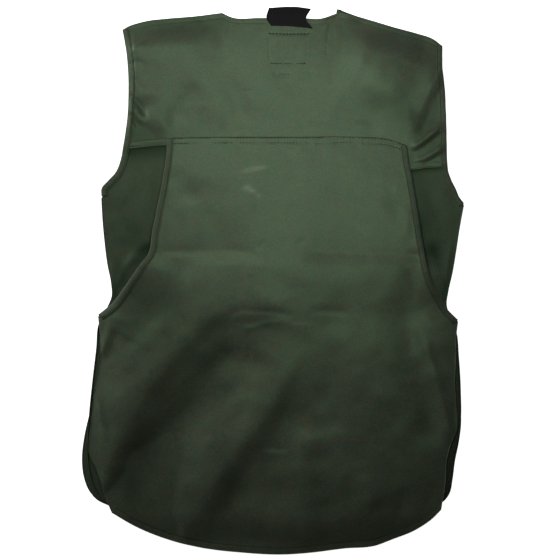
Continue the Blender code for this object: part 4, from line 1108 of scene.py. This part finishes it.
class MESH_OT_vest_fronts(bpy.types.Operator):
    """Make both fronts with their bound armholes and neck edges"""

    bl_idname = "mesh.vest_fronts"
    bl_label = "Fronts"

    def execute(self, context):
        size = cell("inner_cell")
        sides = (
            ("left", LEFT_FRONT_ARMHOLE, LEFT_FRONT_SIDE, LEFT_NECK_EDGE, LEFT_HEM_CORNER, 0.0, LAP, 1),
            ("right", RIGHT_FRONT_ARMHOLE, RIGHT_FRONT_SIDE, RIGHT_NECK_EDGE, RIGHT_HEM_CORNER,
             LAP_HEIGHT, -LAP, -1),
        )
        for side_name, armhole, side, neck, hem_corner, lap, placket_out, toward in sides:
            corner, foot = (hem_corner, FRONT_HEM), (placket_out, FRONT_HEM)
            upper, lower = graded(chord_length(armhole), size), graded(chord_length(side), size, 0, 10, 1.2)
            outer, v = runs((armhole, upper, 9), (side, lower, 19))
            inner, _ = runs((neck, upper, 9), ((neck[-1], foot), lower, 19))
            bend, along = np.linspace(0, 1, 9), graded(220.0, size, 0, 12, 1.2)
            bottom, u = runs(((side[-1], corner), bend, 2), ((corner, foot), along, 10))
            shoulder = through((armhole[0], neck[0]), u)
            plan = filled(shoulder, bottom, outer, inner, u, v)
            bound = slice(0, len(upper))
            plan = pulled_in(plan, bound, slice(0, len(upper) - 3))
            top = front_side_top(lap, FRONT_CREASES)
            shell("front_" + side_name + "_cloth", plan, top(plan[..., 0], plan[..., 1]),
                  finish_of("shell"), replaced=("front_" + side_name,))
            tape("front_armhole_tape_" + side_name, armhole, toward, FRONT_TAPE, top, finish_of("tape"),
                 51 + toward, ("front_armhole_binding_" + side_name,), station=2.4)
            tape("neck_tape_" + side_name, neck[:-1] + ((neck[-1][0], neck[-1][1] - 8.0),),
                 -toward, FRONT_TAPE, top, finish_of("tape"), 61 + toward,
                 ("neck_binding_" + side_name,), station=2.4)
        return {"FINISHED"}


class MESH_OT_vest_pockets(bpy.types.Operator):
    """Make the bellows pockets on the fronts: a face and a folded gusset each"""

    bl_idname = "mesh.vest_pockets"
    bl_label = "Pockets"

    def execute(self, context):
        size = cell("inner_cell")
        for side_name, side in (("left", LEFT_POCKET_SIDE), ("right", RIGHT_POCKET_SIDE)):
            sign = np.sign(side[0][0])
            inner_top, inner_foot = (sign * POCKET_INNER, POCKET_TOP), (sign * POCKET_INNER, POCKET_BOTTOM)
            v = graded(chord_length(side), size, 12, 12, 1.2)
            u = graded(150.0, size, 10, 10, 1.2)
            plan = filled(through((side[0], inner_top), u), through((side[-1], inner_foot), u),
                          through(side, v), through((inner_top, inner_foot), v), u, v)
            top = np.full(plan.shape[:2], CLOTH) - 0.1 * (1.0 + uneven(plan[..., 0], plan[..., 1], 13.0, 71))
            shell("pocket_face_" + side_name, plan, top, finish_of("shell"),
                  replaced=("front_pocket_" + side_name,))
            route = np.vstack([through(side, np.linspace(0, 1, 90)),
                               through((side[-1], inner_foot), np.linspace(0, 1, 50))[1:],
                               through((inner_foot, inner_top), np.linspace(0, 1, 80))[1:]])
            square = square_to(tangents(route)) * -sign
            seat = CLOTH + SEAM_GAP
            section = np.array(((0.3, seat + 0.35), (0.5, seat + 0.1), (1.0, seat), (15.2, seat),
                                (15.7, seat + 0.15), (16.0, seat + 0.7), (15.7, seat + 1.25),
                                (15.2, seat + CLOTH), (1.0, seat + CLOTH), (0.5, seat + 1.3),
                                (0.3, seat + 1.05), (0.9, seat + 0.95), (14.6, seat + 0.9),
                                (14.9, seat + 0.7), (14.6, seat + 0.5), (0.9, seat + 0.45)))
            flat = route[:, None] + square[:, None] * (GUSSET_INSET + section[None, :, :1])
            rings = raised(flat, section[None, :, 1:])
            uv = rings[..., :2].reshape(-1, 2) * MM
            tube("pocket_bellows_" + side_name, rings, finish_of("shell"), uv,
                 replaced=("pocket_gusset_" + side_name,))
        return {"FINISHED"}


class MESH_OT_vest_studs(bpy.types.Operator):
    """Make the flat press studs between the fronts, turned on a lathe"""

    bl_idname = "mesh.vest_studs"
    bl_label = "Press studs"

    def execute(self, context):
        profile = np.array(((0.4, 0.45), (2.6, 0.35), (3.2, 0.0), (6.4, 0.0), (7.2, 0.25), (7.5, 0.8),
                            (7.5, 1.5), (7.1, 1.85), (6.3, 2.0), (4.4, 1.9), (4.0, 1.5), (3.4, 1.4),
                            (2.8, 1.9), (1.6, 2.0), (0.4, 2.0)))
        angle = np.linspace(0.0, 2.0 * np.pi, 40, endpoint=False)
        circle = np.stack([np.cos(angle), np.sin(angle)], axis=1)
        for number, drop in enumerate(STUD_DROPS, start=1):
            flat = circle[None] * profile[:, None, :1] + np.array([0.0, drop])
            rings = raised(flat, STUD_CLEARANCE + profile[:, None, 1:])
            tube("press_stud_%d" % number, rings, finish_of("stud"), rings[..., :2].reshape(-1, 2) * MM,
                 ("stud_%d" % number,))
        return {"FINISHED"}


def tucked_in(side, start):
    """The pouch's lower side moved in a little, so that the pouch hides the body's edge."""
    tuck = BODY_TUCK * np.array([-np.sign(start[0]), -1.0])
    return (start,) + tuple(tuple(np.add(point, tuck)) for point in side[1:])


class MESH_OT_vest_body(bpy.types.Operator):
    """Make the back body, mostly under the pouch"""

    bl_idname = "mesh.vest_body"
    bl_label = "Back body"

    def execute(self, context):
        size = cell("inner_cell")
        left_tail = tucked_in(LEFT_POUCH_SIDE, LEFT_SIDE[-1])
        right_tail = tucked_in(RIGHT_POUCH_SIDE, RIGHT_SIDE[-1])
        shares = (graded(95.0, 3.0), graded(180.0, 3.6), graded(290.0, size, 0, 10, 1.2))
        left, v = runs(*zip((LEFT_BODY_ARMHOLE, LEFT_SIDE, left_tail), shares, (8, 10, 19)))
        right, _ = runs(*zip((RIGHT_BODY_ARMHOLE, RIGHT_SIDE, right_tail), shares, (8, 10, 19)))
        hem = tuple((out * TAIL_TUCK_SHARE, drop - 2 * BODY_TUCK) for out, drop in TAIL_HEM[1:-1])
        u = graded(500.0, size, 12, 12, 1.5)
        bottom = through((left_tail[-1],) + hem + (right_tail[-1],), u)
        plan = filled(through(BODY_TOP, u), bottom, left, right, u, v)
        bound = slice(0, len(shares[0]))
        plan = pulled_in(plan, bound)
        made = shell("body_cloth", plan, body_top(plan[..., 0], plan[..., 1]), finish_of("body"),
                     replaced=("back_body",))
        # The body's colour carries painted shade beside the pouch's mouths and painted shadow under the
        # yoke's hem
        write_painted_spots(made, BODY_PAINTED_LIGHT_AND_SHADE, painted_hem_shadow)
        return {"FINISHED"}


class MESH_OT_vest_yoke(bpy.types.Operator):
    """Make the yoke across the shoulders"""

    bl_idname = "mesh.vest_yoke"
    bl_label = "Yoke"

    def execute(self, context):
        size = cell("yoke_cell")
        top, u = runs((LEFT_SHOULDER, graded(145.0, size), 10), (NECKLINE, graded(170.0, size), 12),
                      (RIGHT_SHOULDER, graded(150.0, size), 10))
        v = graded(YOKE_LENGTH, size, 10, 12)
        hem = through(YOKE_HEM, u)
        plan = filled(top, hem, through(LEFT_YOKE_ARMHOLE, v), through(RIGHT_YOKE_ARMHOLE, v), u, v)
        plan = pulled_in(plan)
        out, drop = plan[..., 0], plan[..., 1]
        above_hem = (1.0 - v)[:, None] * YOKE_LENGTH
        below_neck = v[:, None] * YOKE_LENGTH
        height = yoke_top(out, drop)
        for groove in YOKE_HEM_GROOVES:
            height = height + dent(above_hem, *groove)
        height = height + dent(below_neck, *NECK_GROOVE)
        sewn = [(-depth, (1.5, 1.5), 2.0, (0.05, 0.05), route) for route, _, _, _, depth in YOKE_ROWS]
        height = height + creases(out, drop, sewn) * (0.75 + 0.5 * uneven(out, drop, 5.0, 13))
        # The yoke's colour carries painted shade at the shoulders, the lower corners and in folds
        write_painted_spots(shell("yoke_cloth", plan, height, finish_of("back"), replaced=("yoke",)), YOKE_PAINTED_SHADE)
        return {"FINISHED"}


class MESH_OT_vest_pouch(bpy.types.Operator):
    """Make the game pouch: double-stitched at its top, open at both sides, hemmed along the tail"""

    bl_idname = "mesh.vest_pouch"
    bl_label = "Game pouch"

    def execute(self, context):
        size = cell("pouch_cell")
        mouth, side = graded(MOUTH_RUN, size, 16, 0), graded(SIDE_RUN, size, 0, 16)
        left, v = runs((LEFT_MOUTH, mouth, 1), (LEFT_POUCH_SIDE, side, 1))
        right, _ = runs((RIGHT_MOUTH, mouth, 1), (RIGHT_POUCH_SIDE, side, 1))
        u = graded(455.0, size, 10, 10, 1.0)
        plan = filled(through(POUCH_SEAM, u), through(TAIL_HEM, u), left, right, u, v)
        bound = slice(0, len(mouth))
        plan = pulled_in(plan, bound)
        out, drop = plan[..., 0], plan[..., 1]
        height = pouch_top(out, drop, (2.0 * u - 1.0)[None, :])
        below_seam = 2.0 * v[:, None] * MOUTH_RUN
        above_hem = 2.0 * (1.0 - v)[:, None] * SIDE_RUN
        pucker = uneven(out, below_seam / 9.0, 6.0, 31) * np.exp(-np.abs(below_seam - 12.0) / 6.0)
        grip = np.clip(0.7 + 0.9 * uneven(out, below_seam / 9.0, 9.0, 33), 0.1, 1.4)
        grooves = sum(dent(below_seam, *groove) for groove in SEAM_GROOVES)
        height = height + grip * grooves + 0.35 * pucker
        ripple = uneven(out, above_hem / 20.0, 9.0, 32) * np.exp(-above_hem / 14.0)
        height = height + 0.35 * np.clip(ripple, -0.4, 1.0) + dent(above_hem, *POUCH_HEM_GROOVE)
        height = height + 0.12 * (1.0 - ramp(above_hem, *POUCH_HEM_FOLD))
        thick = THIN + 0.4 * (1.0 - ramp(above_hem, *POUCH_HEM_FOLD)) + np.zeros(out.shape)
        # The pouch's colour carries painted shade in its folds, painted light on ridges, and a few pale marks
        write_painted_spots(shell("pouch_cloth", plan, height, finish_of("back"), thickness=thick,
                         replaced=("game_pouch",)), POUCH_PAINTED_LIGHT_SHADE_AND_MARKS)
        return {"FINISHED"}


def armhole_top(side):
    """Upper side under an armhole tape: the yoke down to its hem, then the body."""
    step = (184.0, 196.0) if side < 0 else (207.0, 219.0)

    def top(out, drop):
        body, upper = body_top(out, drop), yoke_top(out, drop)
        return upper + (body - upper) * ramp(drop, *step)
    return top


def mouth_top(side):
    """Upper side of the pouch beside a mouth, where across is nearly 1."""
    route = np.array(LEFT_MOUTH if side < 0 else RIGHT_MOUTH)

    def top(out, drop):
        inside = np.abs(np.interp(drop, route[:, 1], route[:, 0]) - out)
        return pouch_top(out, drop, 1.0 - np.clip(inside / 180.0, 0.0, 1.0))
    return top


def armhole_route(side):
    """Finished edge of an armhole, from the shoulder down the yoke and the body."""
    if side < 0:
        return LEFT_YOKE_ARMHOLE + LEFT_BODY_ARMHOLE[1:]
    return RIGHT_YOKE_ARMHOLE + RIGHT_BODY_ARMHOLE[1:]


class MESH_OT_vest_tapes(bpy.types.Operator):
    """Make the tapes that bind the armholes and the pouch's mouths"""

    bl_idname = "mesh.vest_tapes"
    bl_label = "Binding tapes"

    def execute(self, context):
        for side_name, side in (("left", -1), ("right", 1)):
            tape("armhole_tape_" + side_name, armhole_route(side), -side, BACK_TAPE, armhole_top(side),
                 finish_of("tape"), 81 + side, ("armhole_binding_" + side_name,))
            mouth = LEFT_MOUTH if side < 0 else RIGHT_MOUTH
            tape("mouth_tape_" + side_name, mouth, -side, BACK_TAPE, mouth_top(side),
                 finish_of("tape"), 91 + side, ("pouch_binding_" + side_name,))
        return {"FINISHED"}


class MESH_OT_vest_tab(bpy.types.Operator):
    """Make the ribbon tab folded over the back neckline"""

    bl_idname = "mesh.vest_tab"
    bl_label = "Ribbon tab"

    def execute(self, context):
        u, v = graded(62.0, 1.2), graded(28.0, 0.8)
        plan = filled(through(TAB_TOP, u), through(TAB_BOTTOM, u), through(TAB_LEFT, v),
                      through(TAB_RIGHT, v), u, v)
        out, drop = plan[..., 0], plan[..., 1]
        on_yoke = yoke_top(out, np.maximum(drop, TAB_NECKLINE)) + SEAM_GAP
        under = TAB_TIP_HEIGHT + (on_yoke - TAB_TIP_HEIGHT) * ramp(drop, *TAB_BEND)
        lift = creases(out, drop, TAB_CREASES)
        shell("tab_ribbon", plan, under + 0.8 + lift, finish_of("ribbon"), thickness=0.6,
              replaced=("neck_tab",))
        return {"FINISHED"}


class MESH_OT_vest_stitching(bpy.types.Operator):
    """Sew the tapes, seams and hems with rows of thread"""

    bl_idname = "mesh.vest_stitching"
    bl_label = "Stitching"

    def execute(self, context):
        pitch = cell("stitch_pitch")
        rows = []
        for side in (-1, 1):
            edge = beside(armhole_route(side), BACK_TAPE - TAPE_STITCH_FROM_INNER, -side)
            rows.append(stitch_row(edge, armhole_top(side), 0.8, pitch, radius=0.36))
        stitching("armhole_stitches", rows, finish_of("thread"))
        rows = []
        for side, mouth in ((-1, LEFT_MOUTH), (1, RIGHT_MOUTH)):
            edge = beside(mouth, BACK_TAPE - TAPE_STITCH_FROM_INNER, -side)
            rows.append(stitch_row(edge, mouth_top(side), 0.8, pitch, radius=0.3))
        stitching("mouth_stitches", rows, finish_of("thread"))
        seam = np.array(POUCH_SEAM)

        def pouch_at(out, drop):
            return pouch_top(out, drop, np.clip(out / POUCH_HALF_WIDTH, -1, 1))
        rows = [stitch_row(seam + (0.0, gap), pouch_at, 0.0, 4.4, 2.4, 0.5, kept, int(gap))
                for gap, kept in ((1.3, 0.66), (8.2, 0.55))]
        stitching("pouch_seam_stitches", rows, finish_of("thread"))
        hem = through(TAIL_HEM, np.linspace(0.0, 1.0, 70))
        rows = [stitch_row(hem + square_to(tangents(hem)) * POUCH_HEM_GROOVE[0], pouch_at, 0.05, pitch)]
        stitching("hem_stitches", rows, finish_of("thread"))
        yoke_hem = np.array(YOKE_HEM)
        rows = [stitch_row(yoke_hem[:2] - (0.0, 2.0), yoke_top, -0.1, pitch),
                stitch_row(yoke_hem[3:] - (0.0, 2.0), yoke_top, -0.1, pitch)]
        for route, row_pitch, radius, kept, _ in YOKE_ROWS:
            rows.append(stitch_row(np.array(route), yoke_top, 0.1, row_pitch, row_pitch * 0.7, radius, kept,
                                   int(route[0][1])))
        stitching("yoke_stitches", rows, finish_of("thread"))
        return {"FINISHED"}


class SCENE_OT_vest_stage(bpy.types.Operator):
    """Set up the pale floor, the soft lights and the camera straight above"""

    bl_idname = "scene.vest_stage"
    bl_label = "Stage"

    def execute(self, context):
        scene, settings = context.scene, context.scene.vest_stage
        camera = bpy.data.objects.new("camera", bpy.data.cameras.new("camera"))
        camera.location = (CAMERA_X, CAMERA_Y, CLOTH_LEVEL + CAMERA_DISTANCE)
        camera.data.sensor_width = SENSOR_WIDTH
        camera.data.lens = SENSOR_WIDTH * CAMERA_DISTANCE / FRAME_WIDTH
        camera.data.clip_end = 20.0
        scene.collection.objects.link(camera)
        scene.camera = camera
        corners = FLOOR_HALF * np.array(((-1, -1), (1, -1), (1, 1), (-1, 1)), float)
        points = np.column_stack([corners, np.full(4, FLOOR_DROP)]).tolist()
        mesh = bpy.data.meshes.new("floor")
        mesh.from_pydata(points, [], [(0, 1, 2, 3)])
        made, tree, shader = blank_material("floor")
        set_inputs(shader, Base_Color=(0.85, 0.85, 0.85, 1.0), Roughness=0.9,
                   Emission_Color=(1.0, 1.0, 1.0, 1.0), Emission_Strength=settings.floor_glow)
        mesh.materials.append(made)
        floor = bpy.data.objects.new("floor", mesh)
        scene.collection.objects.link(floor)
        self.light(scene, "key", settings.key_power, (0.30, 0.25), (0.022, 0.277, 0.684),
                   (0.022, 0.277, 0.0), KEY_SPREAD)
        self.light(scene, "side", settings.side_power, (0.5, 0.5), (-1.4, 0.806, 0.5), (0.0, -0.05, 0.0))
        world = bpy.data.worlds.new("studio")
        world.use_nodes = True
        set_inputs(world.node_tree.nodes["Background"], Color=(1.0, 1.0, 1.0, 1.0), Strength=WORLD_STRENGTH)
        scene.world = world
        scene.view_settings.view_transform = "Standard"
        return {"FINISHED"}

    @staticmethod
    def light(scene, name, power, size, where, aim, spread=np.pi):
        """A soft light of a width and depth at a place, turned towards a point."""
        lamp = bpy.data.lights.new(name, "AREA")
        lamp.energy, lamp.shape = power, "RECTANGLE"
        lamp.size, lamp.size_y = size
        lamp.spread = spread
        made = bpy.data.objects.new(name, lamp)
        made.location = where
        away = Vector(where) - Vector(aim)
        made.rotation_euler = away.to_track_quat("Z", "Y").to_euler()
        scene.collection.objects.link(made)


class VIEW3D_PT_vest(bpy.types.Panel):
    """The vest's settings and the buttons that make its pieces"""

    bl_label = "Vest"
    bl_idname = "VIEW3D_PT_vest"
    bl_space_type = "VIEW_3D"
    bl_region_type = "UI"
    bl_category = "Vest"

    def draw(self, context):
        for group in ("vest_finish", "vest_cloth", "vest_stage"):
            settings = getattr(context.scene, group)
            box = self.layout.box()
            for name in settings.bl_rna.properties.keys():
                if name not in ("rna_type", "name"):
                    box.prop(settings, name)
        for maker in MAKERS:
            self.layout.operator(maker.bl_idname)


GROUPS = (VestFinish, VestCloth, VestStage)
MAKERS = (
    MESH_OT_vest_pockets, MESH_OT_vest_studs, MESH_OT_vest_fronts, MESH_OT_vest_body,
    MESH_OT_vest_yoke, MESH_OT_vest_pouch, MESH_OT_vest_tapes, MESH_OT_vest_tab,
    MESH_OT_vest_stitching, SCENE_OT_vest_stage,
)


def register():
    """Add the classes and their settings to Blender."""
    for kind in GROUPS + MAKERS + (VIEW3D_PT_vest,):
        bpy.utils.register_class(kind)
    bpy.types.Scene.vest_finish = bpy.props.PointerProperty(type=VestFinish)
    bpy.types.Scene.vest_cloth = bpy.props.PointerProperty(type=VestCloth)
    bpy.types.Scene.vest_stage = bpy.props.PointerProperty(type=VestStage)


def unregister():
    """Take them out again."""
    del bpy.types.Scene.vest_finish, bpy.types.Scene.vest_cloth, bpy.types.Scene.vest_stage
    for kind in reversed(GROUPS + MAKERS + (VIEW3D_PT_vest,)):
        bpy.utils.unregister_class(kind)


def main():
    register()
    for maker in MAKERS:
        family, action = maker.bl_idname.split(".")
        getattr(getattr(bpy.ops, family), action)()


if __name__ == "__main__":
    main()
